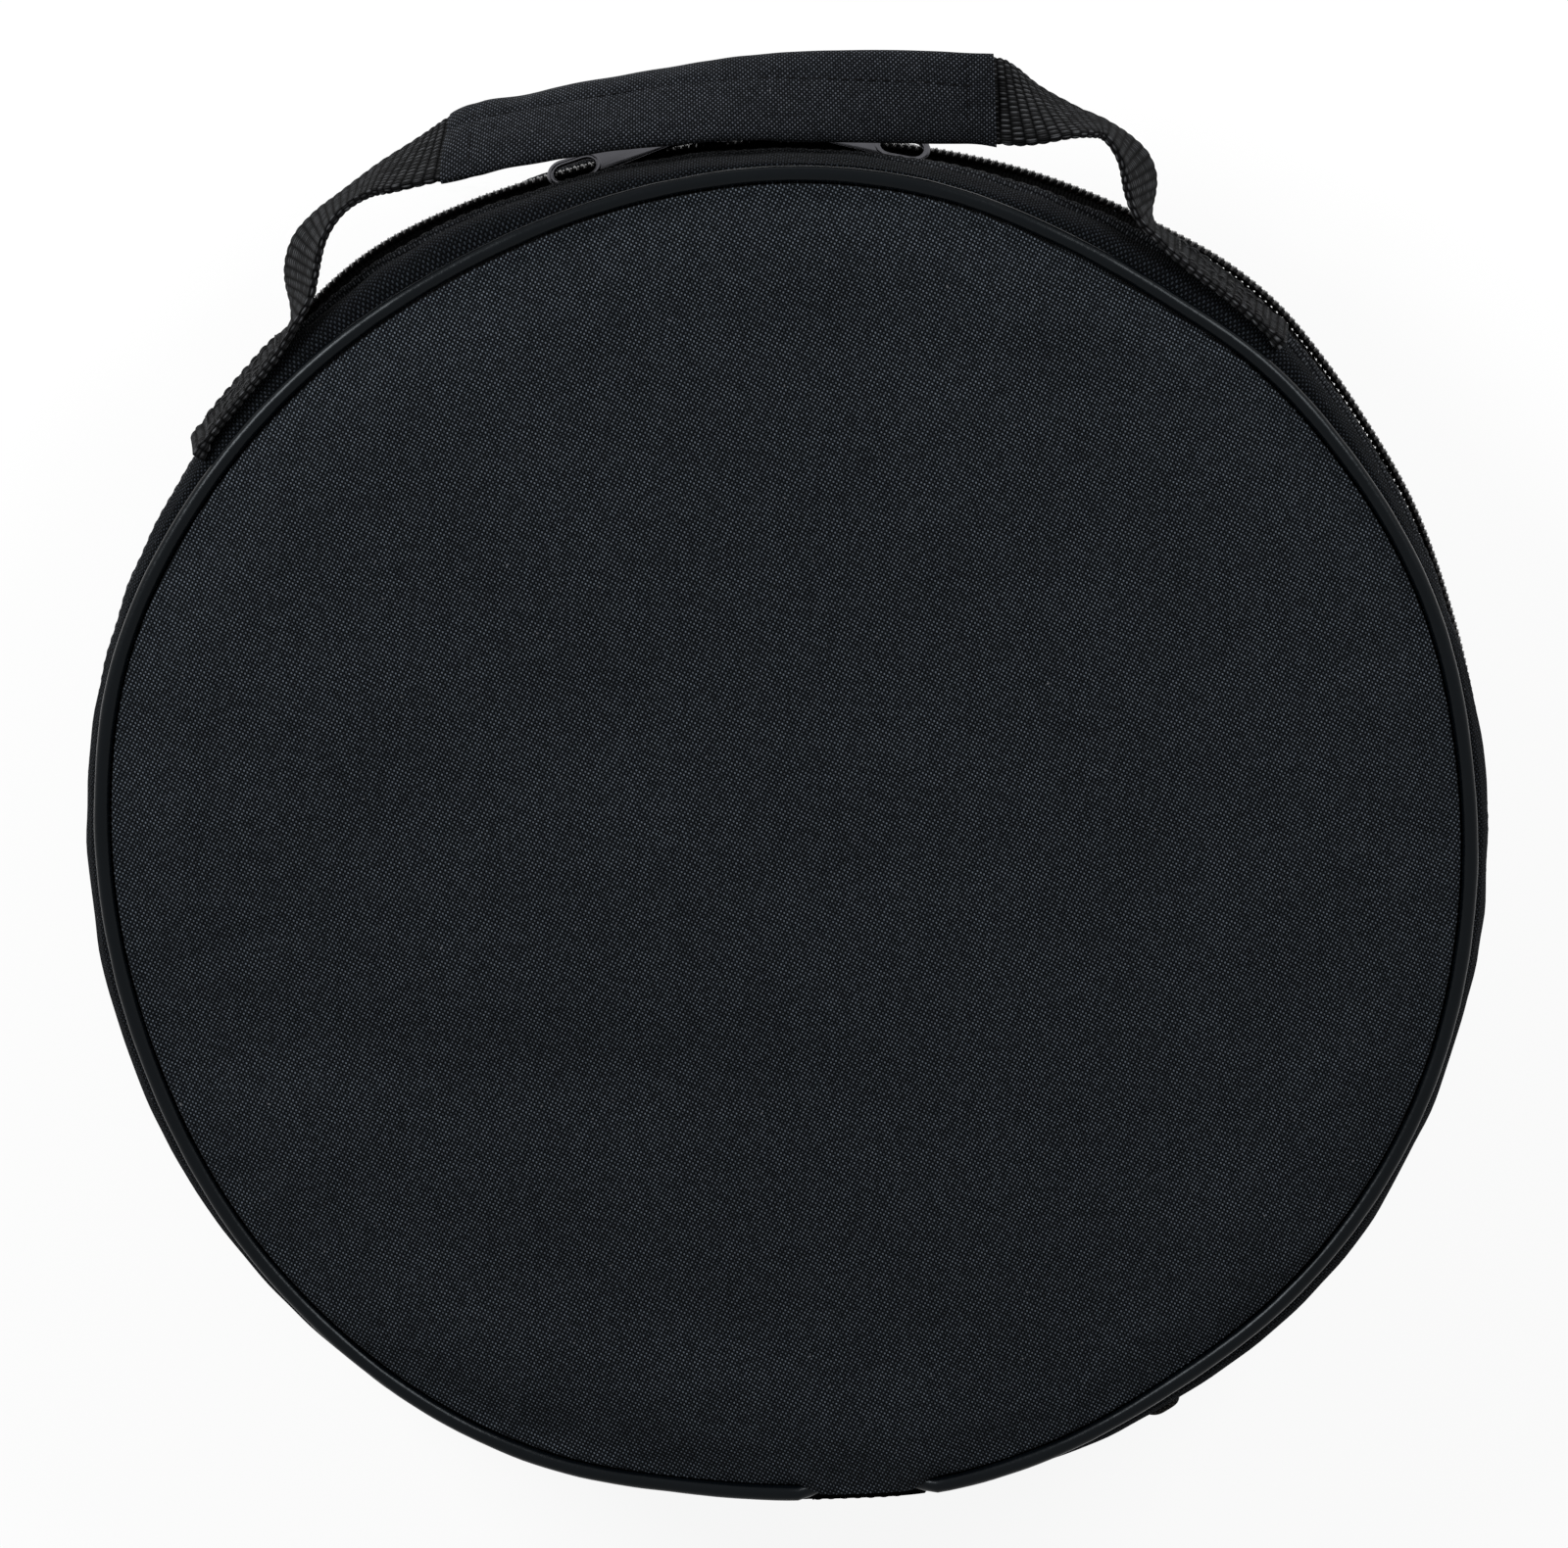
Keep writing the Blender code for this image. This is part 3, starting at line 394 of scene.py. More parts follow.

# Each cloth's first colour is its gaps' near-black with painted shade, and its second the painted glint on
# its thread or rib tops
PANEL_CLOTH = fabric(
    "panel_cloth", (0.0004, 0.0007, 0.001), (0.106, 0.125, 0.15), PANEL_WEAVE, 0.0001,
    0.06, chance=0.45, sharp=2.5, rough=0.6,
)
GUSSET_CLOTH = fabric(
    "gusset_cloth", (0.0003, 0.0004, 0.0005), (0.02, 0.024, 0.03), GUSSET_WEAVE, 0.00022, shine=0.01
)
# The gusset's weave in lighter colours: a painted highlight along the gusset's folded edge
HEM_HIGHLIGHT_CLOTH = fabric(
    "hem_painted_highlight", (0.001, 0.0012, 0.0015), (0.06, 0.065, 0.073), GUSSET_WEAVE, 0.00022, 0.3
)
TAB_CLOTH = fabric("tab_cloth", (0.002, 0.0018, 0.0016), (0.06, 0.055, 0.05), GUSSET_WEAVE, 0.00022)
SLEEVE_CLOTH = fabric(
    "sleeve_cloth", (0.0006, 0.0008, 0.0011), (0.066, 0.073, 0.087), SLEEVE_WEAVE, 0.00012,
    0.12, chance=0.45, sharp=2.1, rough=0.6,
)
LINING_CLOTH = fabric(
    "lining_cloth", (0.012, 0.012, 0.013), (0.042, 0.042, 0.044), LINING_WEAVE, 0.00006, 0.8
)
TAPE_CLOTH = fabric("tape_cloth", (0.001, 0.001, 0.0011), (0.007, 0.007, 0.0075), TAPE_RIB, 0.00012)
BINDING_CLOTH = fabric(
    "binding_cloth", (0.006, 0.006, 0.0062), (0.024, 0.024, 0.0245), BINDING_RIB, 0.0001
)
WEBBING_CLOTH = fabric(
    "webbing_cloth", (0.0003, 0.0003, 0.0004), (0.057, 0.059, 0.063), WEBBING_WEAVE, 0.00055, 0.15, 0.7
)
PIPING_VINYL = smooth(
    "piping_vinyl", (0.0008, 0.0013, 0.0019), (0.2, 0.34), 0.00005, 0.0012,
    Specular_IOR_Level=0.11, Specular_Tint=(0.86, 0.94, 1.0, 1.0),
)
COIL_NYLON = smooth(
    "coil_nylon", (0.0035, 0.0026, 0.0024), (0.13, 0.27), 0.00002, 0.001, Specular_IOR_Level=0.3
)
THREAD = smooth("thread", (0.02, 0.0205, 0.0215), (0.55, 0.69), 0.00008, 0.0004, Specular_IOR_Level=0.1)
DARK_THREAD = smooth(
    "dark_thread", (0.003, 0.003, 0.0034), (0.55, 0.69), 0.00008, 0.0004, Specular_IOR_Level=0.05
)
METAL = {"grain_size": 0.004, "patch": 0.004, "detail": 4.0, "light": 1.2, "Metallic": 1.0}
PULL_METAL = smooth("pull_metal", (0.1, 0.1, 0.11), (0.14, 0.3), 0.00003, **METAL)
SLIDER_METAL = smooth("slider_metal", (0.045, 0.045, 0.05), (0.16, 0.32), 0.00003, **METAL)


# Meshes

def finish_piece(thing, body, material, replaced=()):
    """Give a piece its material and body, and hide the frame's nodes that it stands for."""
    thing.data.materials.clear()
    thing.data.materials.append(material)
    if body:
        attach(thing, body)
    if replaced:
        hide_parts(*replaced)


def object_of(name, mesh, places, sharp):
    """Make an object of a mesh whose corners know their place on the cloth."""
    mesh.attributes.new("cloth", "FLOAT_VECTOR", "CORNER").data.foreach_set("vector", places.ravel())
    build = bmesh.new()
    build.from_mesh(mesh)
    bmesh.ops.recalc_face_normals(build, faces=build.faces)
    build.to_mesh(mesh)
    build.free()
    mesh.shade_smooth()
    mesh.set_sharp_from_angle(angle=math.radians(sharp))
    return linked(name, mesh)


def mesh_of(name, points, faces):
    """Make a mesh of points and faces."""
    mesh = bpy.data.meshes.new(name)
    mesh.from_pydata([tuple(point) for point in points], [], [list(face) for face in faces])
    return mesh


def mesh_object(name, points, faces, cloth):
    """Make an object of points and faces, with two numbers at each corner for its cloth."""
    places = np.zeros((len(cloth), 3))
    places[:, :2] = cloth
    return object_of(name, mesh_of(name, points, faces), places, 50)


def skin_over(rings, closed=False):
    """Return the points, faces and cloth places of a solid over rings of points."""
    rings = np.asarray(rings, float)
    count, around = rings.shape[:2]
    spans = count if closed else count - 1
    first, near = (part.ravel() for part in np.mgrid[:spans, :around])
    ring = np.stack([first, first, first + 1, first + 1], axis=1)
    place = np.stack([near, near + 1, near + 1, near], axis=1)
    faces = (ring % count * around + place % around).tolist()
    centres = rings.mean(axis=1)
    along = run_along(np.concatenate([centres, centres[:1]]))
    widths = np.linalg.norm(np.roll(rings, -1, axis=1) - rings, axis=2).mean(axis=0)
    across = np.concatenate([[0.0], np.cumsum(widths)])
    places = np.stack([along[ring], across[place]], axis=2).reshape(-1, 2)
    if not closed:
        faces += [list(range(around)), list(range((count - 1) * around, count * around))]
        places = np.concatenate([places, np.zeros((2 * around, 2))])
    return rings.reshape(-1, 3), faces, places


def swept(name, rings, closed=False):
    """Make a solid over rings of points, closed on itself or with an end face at each end."""
    return mesh_object(name, *skin_over(rings, closed))


def circle(sides):
    """Return the cosines and sines of evenly spaced turns."""
    return [(math.cos(math.tau * side / sides), math.sin(math.tau * side / sides)) for side in range(sides)]


def squared(value, power):
    """Bend a cosine or sine so that it makes a squarer round."""
    return math.copysign(abs(value) ** power, value)


def polar(radius, angles, height):
    """Return the points at radii, angles and heights, which may be single numbers too."""
    turns = np.radians(angles)
    return np.stack(np.broadcast_arrays(radius * np.cos(turns), radius * np.sin(turns), height), axis=-1)


def run_along(points):
    """Return how far along a line each of its points lies."""
    return np.concatenate([[0.0], np.cumsum(np.linalg.norm(np.diff(points, axis=0), axis=1))])


def unit(vectors):
    """Return vectors, or one, with a length of 1."""
    return vectors / np.linalg.norm(vectors, axis=-1, keepdims=True)


def smooth_curve(at, value, where):
    """Read values, given at rising places, smoothly at other places."""
    slope = np.gradient(value, at, axis=-1)
    index = np.clip(np.searchsorted(at, where, side="right") - 1, 0, len(at) - 2)
    span = at[index + 1] - at[index]
    t = (where - at[index]) / span
    start = value[..., index] * (1 + 2 * t) * (1 - t) ** 2 + slope[..., index] * span * t * (1 - t) ** 2
    end = value[..., index + 1] * t**2 * (3 - 2 * t) + slope[..., index + 1] * span * t**2 * (t - 1)
    return start + end


def smooth_ring(curve, angles):
    """Read a closed curve of angles and values at many angles."""
    at, value = np.array(curve, float).T
    at = np.concatenate([at[-2:] - 360, at, at[:2] + 360])
    value = np.concatenate([value[-2:], value, value[:2]])
    return smooth_curve(at, value, np.asarray(angles, float) % 360)


def field_noise(x, y, size, seed):
    """Return smooth noise over a plane, about -1 to 1, with patches of a size."""
    places = zip((x / size).ravel(), (y / size).ravel())
    return np.array([noise.noise(Vector((a, b, seed))) * 2 for a, b in places]).reshape(x.shape)


def ring_noise(angles, waves, seed):
    """Return smooth noise round the bag, about -1 to 1, with some waves to the turn."""
    turns = np.radians(angles)
    return field_noise(np.cos(turns), np.sin(turns), 4 / waves, seed)


def half_curve(half, curve, mean, angles):
    """Read a ring's radius in one tray: as photographed in front, and rounder behind."""
    if half == "front":
        return smooth_ring(curve, angles)
    return mean + BACK_SHARE * (smooth_ring(curve, angles + BACK_SHIFT) - mean)


def away_from(angles, centre):
    """Return how many degrees angles are from a centre."""
    return np.abs((angles - centre + 180) % 360 - 180)


def piping_dip(half, angles):
    """Return 1 where the piping's ends dive into the front seam at the hinge, and 0 elsewhere."""
    share = np.clip((away_from(angles, BOTTOM + 1.0) - 3.6) / 2.6, 0, 1)
    return (1 - share**2 * (3 - 2 * share)) * (half == "front")


def hinge_tuck(half, angles):
    """Return 1 where the hinge patch pulls the front tray's wall in, and 0 elsewhere."""
    return np.clip((11.0 - away_from(angles, BOTTOM + 0.7)) / 4.0, 0, 1) * (half == "front")


def piping_radius(half, angles):
    """Return the radius of the piping's centre line."""
    return half_curve(half, PIPING_CURVE, PIPING_RING_RADIUS, angles)


def fold_radius(half, angles):
    """Return the outer radius of the gusset's folded edge."""
    wave = 0.00022 * ring_noise(angles, 60, 3.7 if half == "front" else 9.1)
    return half_curve(half, FOLD_CURVE, FOLD_RING_RADIUS, angles) + wave


def chain_radius(angles):
    """Return the radius of the zip chain's centre line."""
    return COIL_RING_RADIUS + smooth_ring(CHAIN_CURVE, angles)


def binding_radius(half, angles):
    """Return the radius of the binding's middle."""
    return np.minimum(piping_radius(half, angles) - BINDING_INSET, BINDING_RADIUS_MOST)


def height_of(half, depth):
    """Turn a depth below a tray's face into a height."""
    return BAG_DEPTH - depth if half == "front" else depth


def ring_angles(steps=RING_STEPS):
    """Return evenly spaced angles all the way round."""
    return np.arange(steps) * 360.0 / steps


def outline_rings(half, angles, outline):
    """Place an outline of radii and depths at each angle, where both may vary with the angle."""
    count = len(angles)
    radii = np.stack([np.broadcast_to(radius, count) for radius, _ in outline], axis=1)
    depths = np.stack([np.broadcast_to(depth, count) for _, depth in outline], axis=1)
    return polar(radii, angles[:, None], height_of(half, depths))


# Both trays

def body_of(half):
    """Return the body that a tray's pieces ride on."""
    return "lid" if half == "front" else "root"


def make_band(half, part, angles, outline, material, nodes, closed=True):
    """Make a piece of a tray that runs round the bag, from its outline at each angle."""
    band = swept(f"{half}_{part}", outline_rings(half, angles, outline), closed)
    finish_piece(band, body_of(half), material, [f"{half}_{node}" for node in nodes])
    return band


def make_piping(half):
    """Make the piping's round vinyl bead, which dives into the seam at the hinge in front."""
    angles = ring_angles()
    dip = piping_dip(half, angles)
    centre = piping_radius(half, angles) - 0.0012 * dip
    depth = PIPING_DEPTH + 0.0034 * dip + 0.00012 * ring_noise(angles, 40, 5.3)
    radius = PIPING_RADIUS * (1 + 0.03 * ring_noise(angles, 90, 7.7))
    outline = [(centre + radius * cos, depth + radius * sin) for cos, sin in circle(16)]
    make_band(half, "piping_bead", angles, outline, PIPING_VINYL, ["piping"])


def disc_grid(steps):
    """Return the radii, of 1 at most, and angles of a square grid drawn into a disc."""
    row = np.linspace(-1, 1, steps + 1)
    row = np.sign(row) * (1 - (1 - np.abs(row)) ** 1.4)
    first, second = np.meshgrid(row, row, indexing="ij")
    wide = np.abs(first) >= np.abs(second)
    longer, shorter = np.where(wide, first, second), np.where(wide, second, first)
    part = math.pi / 4 * shorter / np.where(longer == 0, 1, longer)
    turn = np.where(wide, part, math.pi / 2 - part) + np.where(longer < 0, math.pi, 0.0)
    return np.abs(longer), np.degrees(turn)


def grid_parts(steps):
    """Return the faces of a square grid, and the points of its rim in order."""
    grid = np.arange((steps + 1) ** 2).reshape(steps + 1, steps + 1)
    faces = np.stack([grid[:-1, :-1], grid[:-1, 1:], grid[1:, 1:], grid[1:, :-1]], axis=2).reshape(-1, 4)
    return faces, np.concatenate([grid[:-1, 0], grid[-1, :-1], grid[:0:-1, -1], grid[0, :0:-1]])


def disc_object(name, steps, over, under):
    """Make an object of two grids in a disc, one over the other, with a side between their rims."""
    faces, rim = grid_parts(steps)
    following = np.roll(rim, -1)
    count = len(over)
    side = np.stack([rim, following, following + count, rim + count], axis=1)
    faces = np.concatenate([faces, faces[:, ::-1] + count, side])
    points = np.concatenate([over, under])
    return mesh_object(name, points, faces.tolist(), points[faces.ravel()][:, :2])


def crease_depth(x, y):
    """Return how far the listed creases press the front panel's cloth in."""
    depth = np.zeros_like(x)
    for start, end, half_width, deep in PANEL_CREASES:
        along = np.subtract(end, start)
        length = np.linalg.norm(along)
        along /= length
        run = (x - start[0]) * along[0] + (y - start[1]) * along[1]
        off = -(x - start[0]) * along[1] + (y - start[1]) * along[0]
        past = np.maximum(np.maximum(-run, run - length), 0)
        depth += deep * np.exp(-((off / half_width) ** 2)) * np.exp(-((past / (3 * half_width)) ** 2))
    return depth


def panel_relief(half, x, y, inward, angles):
    """Return how far a panel's cloth lies above its plain crowned form."""
    seed = 1.3 if half == "front" else 6.1
    relief = 0.0007 * field_noise(x, y, 0.06, seed) + 0.00016 * field_noise(x, y, 0.022, seed + 1)
    relief += 0.0003 * ring_noise(angles, 150, seed + 2) * np.exp(-inward / 0.01)
    relief += 0.0004 * ring_noise(angles, 46, seed + 3) * np.exp(-inward / 0.024)
    return relief - crease_depth(x, y) * (half == "front")


def swollen(points, faces, held, slack):
    """Let a sheet of cloth swell over its padding, and return where its points come to rest."""
    sheet = linked("swelling", mesh_of("swelling", points.tolist(), faces.tolist()))
    sheet.vertex_groups.new(name="held").add(held, 1.0, "REPLACE")
    loose = sheet.vertex_groups.new(name="loose")
    for index, weight in enumerate(slack.tolist()):
        loose.add([index], weight, "REPLACE")
    rules = sheet.modifiers.new("swell", "CLOTH").settings
    rules.vertex_group_mass = "held"
    rules.vertex_group_shrink = "loose"
    rules.shrink_min = -SWELL_SLACK * 0.1
    rules.shrink_max = -SWELL_SLACK
    rules.use_pressure = True
    rules.uniform_pressure_force = SWELL_PRESSURE
    rules.effector_weights.gravity = 0.0
    rules.bending_stiffness = SWELL_BENDING
    for moment in range(1, SWELL_FRAMES + 1):
        bpy.context.scene.frame_set(moment)
    result = sheet.evaluated_get(bpy.context.evaluated_depsgraph_get()).to_mesh()
    settled = np.zeros(len(points) * 3)
    result.vertices.foreach_get("co", settled)
    bpy.data.objects.remove(sheet)
    bpy.context.scene.frame_set(1)
    return settled.reshape(-1, 3)


def make_panel(half):
    """Make a panel: cloth that swells over its foam, rounded down into the seam."""
    share, angles = disc_grid(PANEL_STEPS)
    rim = piping_radius(half, angles) - SEAM_INSET + 0.0027 * piping_dip(half, angles)
    inward = rim - share * rim
    level = (1 - (1 - np.clip(inward / PANEL_ROUNDING, 0, 1)) ** 2) ** 0.85
    depth = SEAM_DEPTH * (1 - level) - PANEL_CROWN * (1 - share**2)
    top = polar(share * rim, angles, height_of(half, depth)).reshape(-1, 3)
    under = polar(share * rim, angles, height_of(half, PANEL_BACK_DEPTH)).reshape(-1, 3)
    faces, held = grid_parts(PANEL_STEPS)
    faces = faces if half == "front" else faces[:, ::-1]
    moves = swollen(top, faces, held.tolist(), np.exp(-inward / SWELL_RIM).ravel()) - top
    shares = np.linalg.norm(moves, axis=1, keepdims=True) / SWELL_REACH
    top += moves * np.tanh(shares) / np.maximum(shares, 1e-9)
    x, y = (under[:, axis].reshape(share.shape) for axis in (0, 1))
    relief = np.clip(inward / 0.004, 0, 1) * panel_relief(half, x, y, inward, angles)
    top[:, 2] += relief.ravel() * (1.0 if half == "front" else -1.0)
    if half == "back":
        top[:, 2] = np.maximum(top[:, 2], 0.0)
    panel = disc_object(half + "_panel_pad", PANEL_STEPS, top, under)
    finish_piece(panel, body_of(half), PANEL_CLOTH, [half + "_panel", half + "_foam"])


def hem_lip(half, angles):
    """Return how far the gusset's hem flares out where the zip's chain stands away from it."""
    gap = chain_radius(angles) - 0.0011 - half_curve(half, FOLD_CURVE, FOLD_RING_RADIUS, angles)
    return np.clip(gap * 0.6, 0.0, 0.002)


def make_gusset(half):
    """Make the side wall: out over the piping, down, and back under itself in a folded edge."""
    angles = ring_angles()
    piping = piping_radius(half, angles)
    fold = fold_radius(half, angles)
    swell = 0.00035 + 0.0003 * ring_noise(angles, 34, 2.2)
    edge = FOLD_DEPTH + 0.00025 * ring_noise(angles, 30, 4.4)
    skin = fold - FABRIC_THICKNESS
    tuck = hinge_tuck(half, angles)
    lip = hem_lip(half, angles)
    mean = (piping + fold) / 2
    outline = [
        (piping - 0.0006, 0.0126), (piping - 0.0006, 0.0082), (piping + 0.0006 - 0.001 * tuck, 0.0079),
        (piping + 0.0022 - 0.0018 * tuck, 0.0083), (mean + 0.001 - 0.0016 * tuck, 0.0094),
        (fold - 0.0008 - 0.0012 * tuck, 0.0112), (fold + swell * 0.4 - 0.0008 * tuck, 0.0134),
        (fold + swell - 0.0005 * tuck, 0.016), (fold + swell * 0.8 - 0.0003 * tuck, 0.0186),
        (fold + 0.0001, 0.0194), (fold + 0.0005 + lip * 0.8, 0.0199), (fold + 0.0007 + lip, 0.0207),
        (fold + 0.0006 + lip, edge - 0.0009), (fold - 0.0001 + lip, edge - 0.0002),
        (fold - 0.0007 + lip, edge), (fold - 0.00125 + lip * 0.8, edge - 0.0003),
        (fold - 0.00125, edge - 0.004), (skin, 0.016), (skin - 0.0004 - 0.0006 * tuck, 0.0134),
        (fold - 0.0026, 0.012), (mean - 0.0002 - 0.0014 * tuck, 0.0104),
        (piping + 0.0014 - 0.0012 * tuck, 0.0093), (piping + 0.0004 - 0.0006 * tuck, 0.0092),
        (piping + 0.0004 - 0.0006 * tuck, 0.0126),
    ]
    gusset = make_band(half, "gusset_wall", angles, outline, GUSSET_CLOTH, ["gusset"])
    # The faces round the folded edge get the lighter hem cloth, a painted highlight
    gusset.data.materials.append(HEM_HIGHLIGHT_CLOTH)
    for face in gusset.data.polygons:
        if HEM_FIRST <= face.index % len(outline) <= HEM_LAST:
            face.material_index = 1


def make_tape(half):
    """Make the zip's tape, from under the gusset out to the coil."""
    angles = np.linspace(HINGE_EDGE, 180 - HINGE_EDGE, ZIP_STEPS)
    start = fold_radius(half, angles) - TAPE_INSET
    chain = chain_radius(angles) - 0.00095
    middle = (start + chain) / 2 - 0.0003
    outer = [
        (start, TAPE_START_DEPTH), (start, FOLD_DEPTH), (middle, (FOLD_DEPTH + TAPE_EDGE_DEPTH) / 2),
        (chain, TAPE_EDGE_DEPTH - 0.0012),
    ]
    edge = [(chain - 0.0001, TAPE_EDGE_DEPTH), (chain - TAPE_THICKNESS, TAPE_EDGE_DEPTH)]
    inner = [(radius - TAPE_THICKNESS, depth) for radius, depth in reversed(outer)]
    outline = outer + edge + inner
    make_band(half, "zip_tape_cloth", angles, outline, TAPE_CLOTH, ["zip_tape"], False)


def make_coil(half):
    """Make the zip's coil, whose turns sit between those of the other tray's coil."""
    turns = int(math.radians(ZIP_END - ZIP_START) * COIL_RING_RADIUS / COIL_PITCH)
    steps = np.arange(turns * COIL_TURN_POINTS)
    phase = math.tau * steps / COIL_TURN_POINTS
    shift = 0.25 if half == "front" else 0.75
    position = steps / COIL_TURN_POINTS + shift + COIL_SLANT * np.cos(phase)
    angles = ZIP_START + (ZIP_END - ZIP_START) * position / (turns + 1)
    radii = chain_radius(angles) + COIL_STAND + COIL_HALF_HEIGHT * np.sin(phase)
    depths = COIL_CENTRE_DEPTH + COIL_HALF_WIDTH * np.cos(phase)
    centres = polar(radii, angles, height_of(half, depths))
    forward = unit(np.gradient(centres, axis=0))
    inner = polar(np.sin(phase), angles, np.cos(phase) * (-1 if half == "front" else 1))
    first = unit(np.cross(forward, inner))
    second = np.cross(forward, first)
    rings = [centres + COIL_WIRE_RADIUS * (first * cos + second * sin) for cos, sin in circle(5)]
    coil = swept(half + "_coil_turns", np.stack(rings, axis=1))
    finish_piece(coil, body_of(half), COIL_NYLON, [half + "_zip_coil"])


def make_coil_core(half):
    """Make the cord inside the zip's coil, which is thicker inwards on the left."""
    angles = np.linspace(ZIP_START, ZIP_END, ZIP_STEPS)
    centre = chain_radius(angles) + COIL_STAND
    inner = COIL_CORD_HALF_HEIGHT * (1 + 0.6 * np.clip((angles - 55) / 10, 0, 1))
    outline = []
    for cos, sin in circle(8):
        reach = COIL_CORD_HALF_HEIGHT if sin > 0 else inner
        outline.append((centre + reach * sin, COIL_CENTRE_DEPTH + COIL_CORD_HALF_WIDTH * cos))
    make_band(half, "coil_core", angles, outline, TAPE_CLOTH, [], False)


def make_lining(half):
    """Make the lining's disc inside a tray."""
    share, angles = disc_grid(LINING_STEPS)
    radius = share * LINING_RADIUS
    under = polar(radius, angles, height_of(half, LINING_DEPTH - 0.0002))
    x, y = under[..., 0], under[..., 1]
    seed = 2.9 if half == "front" else 8.3
    ripple = 0.0003 * field_noise(x, y, 0.035, seed) + 0.00016 * field_noise(x, y, 0.012, seed + 1)
    depth = LINING_DEPTH + 0.0005 + np.clip((LINING_RADIUS - radius) / 0.01, 0, 1) * ripple
    over = polar(radius, angles, height_of(half, depth))
    name = half + "_lining"
    disc = disc_object(name + "_disc", LINING_STEPS, over.reshape(-1, 3), under.reshape(-1, 3))
    finish_piece(disc, body_of(half), LINING_CLOTH, [name])


def make_wall_pad(half):
    """Make the padded lining of a tray's wall."""
    angles = ring_angles(240)
    outer = np.minimum(fold_radius(half, angles) - TAPE_INSET - TAPE_THICKNESS - 0.0002, 0.1632)
    pad = 0.003 + 0.0003 * ring_noise(angles, 70, 6.6)
    low, high = 0.014, 0.0224
    outline = [
        (outer, low), (outer, high), (outer - 0.001, high + 0.0003), (outer - 0.0022, high - 0.0002),
        (outer - pad, high - 0.0018), (outer - pad - 0.0002, (low + high) / 2), (outer - pad, low + 0.0018),
        (outer - 0.0022, low + 0.0003),
    ]
    nodes = ["gusset_lining", "gusset_foam"]
    wall = make_band(half, "wall_pad", angles, outline, LINING_CLOTH, nodes)


def make_binding(half):
    """Make the tape folded over the seam inside a tray."""
    angles = ring_angles()
    middle = binding_radius(half, angles)
    swell = 0.00012 * ring_noise(angles, 110, 3.1)
    outline = [
        (middle - 0.0019, 0.0089), (middle - 0.0012, 0.0088), (middle - 0.0012, 0.0124),
        (middle + 0.0016, 0.0124), (middle + 0.0016, 0.0096), (middle + 0.0022, 0.0096),
        (middle + 0.0023, 0.0122), (middle + 0.0016, 0.0133), (middle, 0.0137 + swell),
        (middle - 0.0014, 0.0133), (middle - 0.0021 + swell, 0.012),
    ]
    make_band(half, "binding_tape", angles, outline, BINDING_CLOTH, ["binding"])


# Stitches

def stitch_rings(start, end, normal, thread):
    """Return the rings of one stitch that arches between two holes."""
    across = unit(np.cross(normal, end - start))
    rings = []
    for share, size in STITCH_SHAPE:
        lift = thread * (0.9 * math.sin(math.pi * share) - 0.5)
        centre = start + (end - start) * share + normal * lift
        rings.append([centre + (across * cos + normal * sin) * thread * size for cos, sin in circle(6)])
    return rings


def stitched(name, rows, length=0.0026, gap=0.0007, thread=0.00022):
    """Make stitches along rows of points and normals, as one mesh."""
    points, faces = [], []
    for row in rows:
        runs = run_along(row[:, 0])
        starts = np.arange(int((runs[-1] + gap) / (length + gap))) * (length + gap)
        heads, tails, normals = (
            np.stack([np.interp(where, runs, row[:, part, axis]) for axis in range(3)], axis=1)
            for where, part in ((starts, 0), (starts + length, 0), (starts, 1))
        )
        for start, end, normal in zip(heads, tails, unit(normals)):
            skin, sides, _ = skin_over(stitch_rings(start, end, normal, thread))
            faces += [[corner + len(points) for corner in side] for side in sides]
            points += skin.tolist()
    return mesh_object(name, points, faces, [points[corner][:2] for face in faces for corner in face])


def ring_row(half, radii, depth, angles, facing=1.0):
    """Return a row round the bag for stitches that face outwards, or inwards where it is -1."""
    return np.stack([polar(radii, angles, height_of(half, depth)), polar(facing, angles, 0.0)], axis=1)


def make_ring_stitches(half):
    """Make the stitches along the gusset's folded edge, and those of the binding inside."""
    angles = np.append(ring_angles(), 360.0)
    edge = fold_radius(half, angles) + hem_lip(half, angles) + 0.0006
    seam = stitched(half + "_fold_stitches", [ring_row(half, edge, 0.0212, angles)])
    finish_piece(seam, body_of(half), THREAD)
    inner = binding_radius(half, angles) - 0.0021
    inside = stitched(half + "_binding_stitches", [ring_row(half, inner, 0.0113, angles, -1.0)])
    finish_piece(inside, body_of(half), THREAD)


# Handle

def route_frames():
    """Return the centres along the handle, and the directions across the webbing and out of it."""
    given = np.array(HANDLE_ROUTE, float)
    at = run_along(given[:, :2])
    x, y, lean, skew = smooth_curve(at, given.T, np.arange(0.0, at[-1], ROUTE_STEP))
    centres = np.stack([x, y, np.full_like(x, HANDLE_HEIGHT)], axis=1)
    forward = unit(np.gradient(centres, axis=0))
    outward = np.stack([-forward[:, 1], forward[:, 0], np.zeros_like(x)], axis=1)
    turn = np.radians(lean)[:, None]
    across = np.array([0.0, 0.0, 1.0]) * np.cos(turn) + outward * np.sin(turn)
    return centres, across + forward * skew[:, None], np.cross(across, forward)


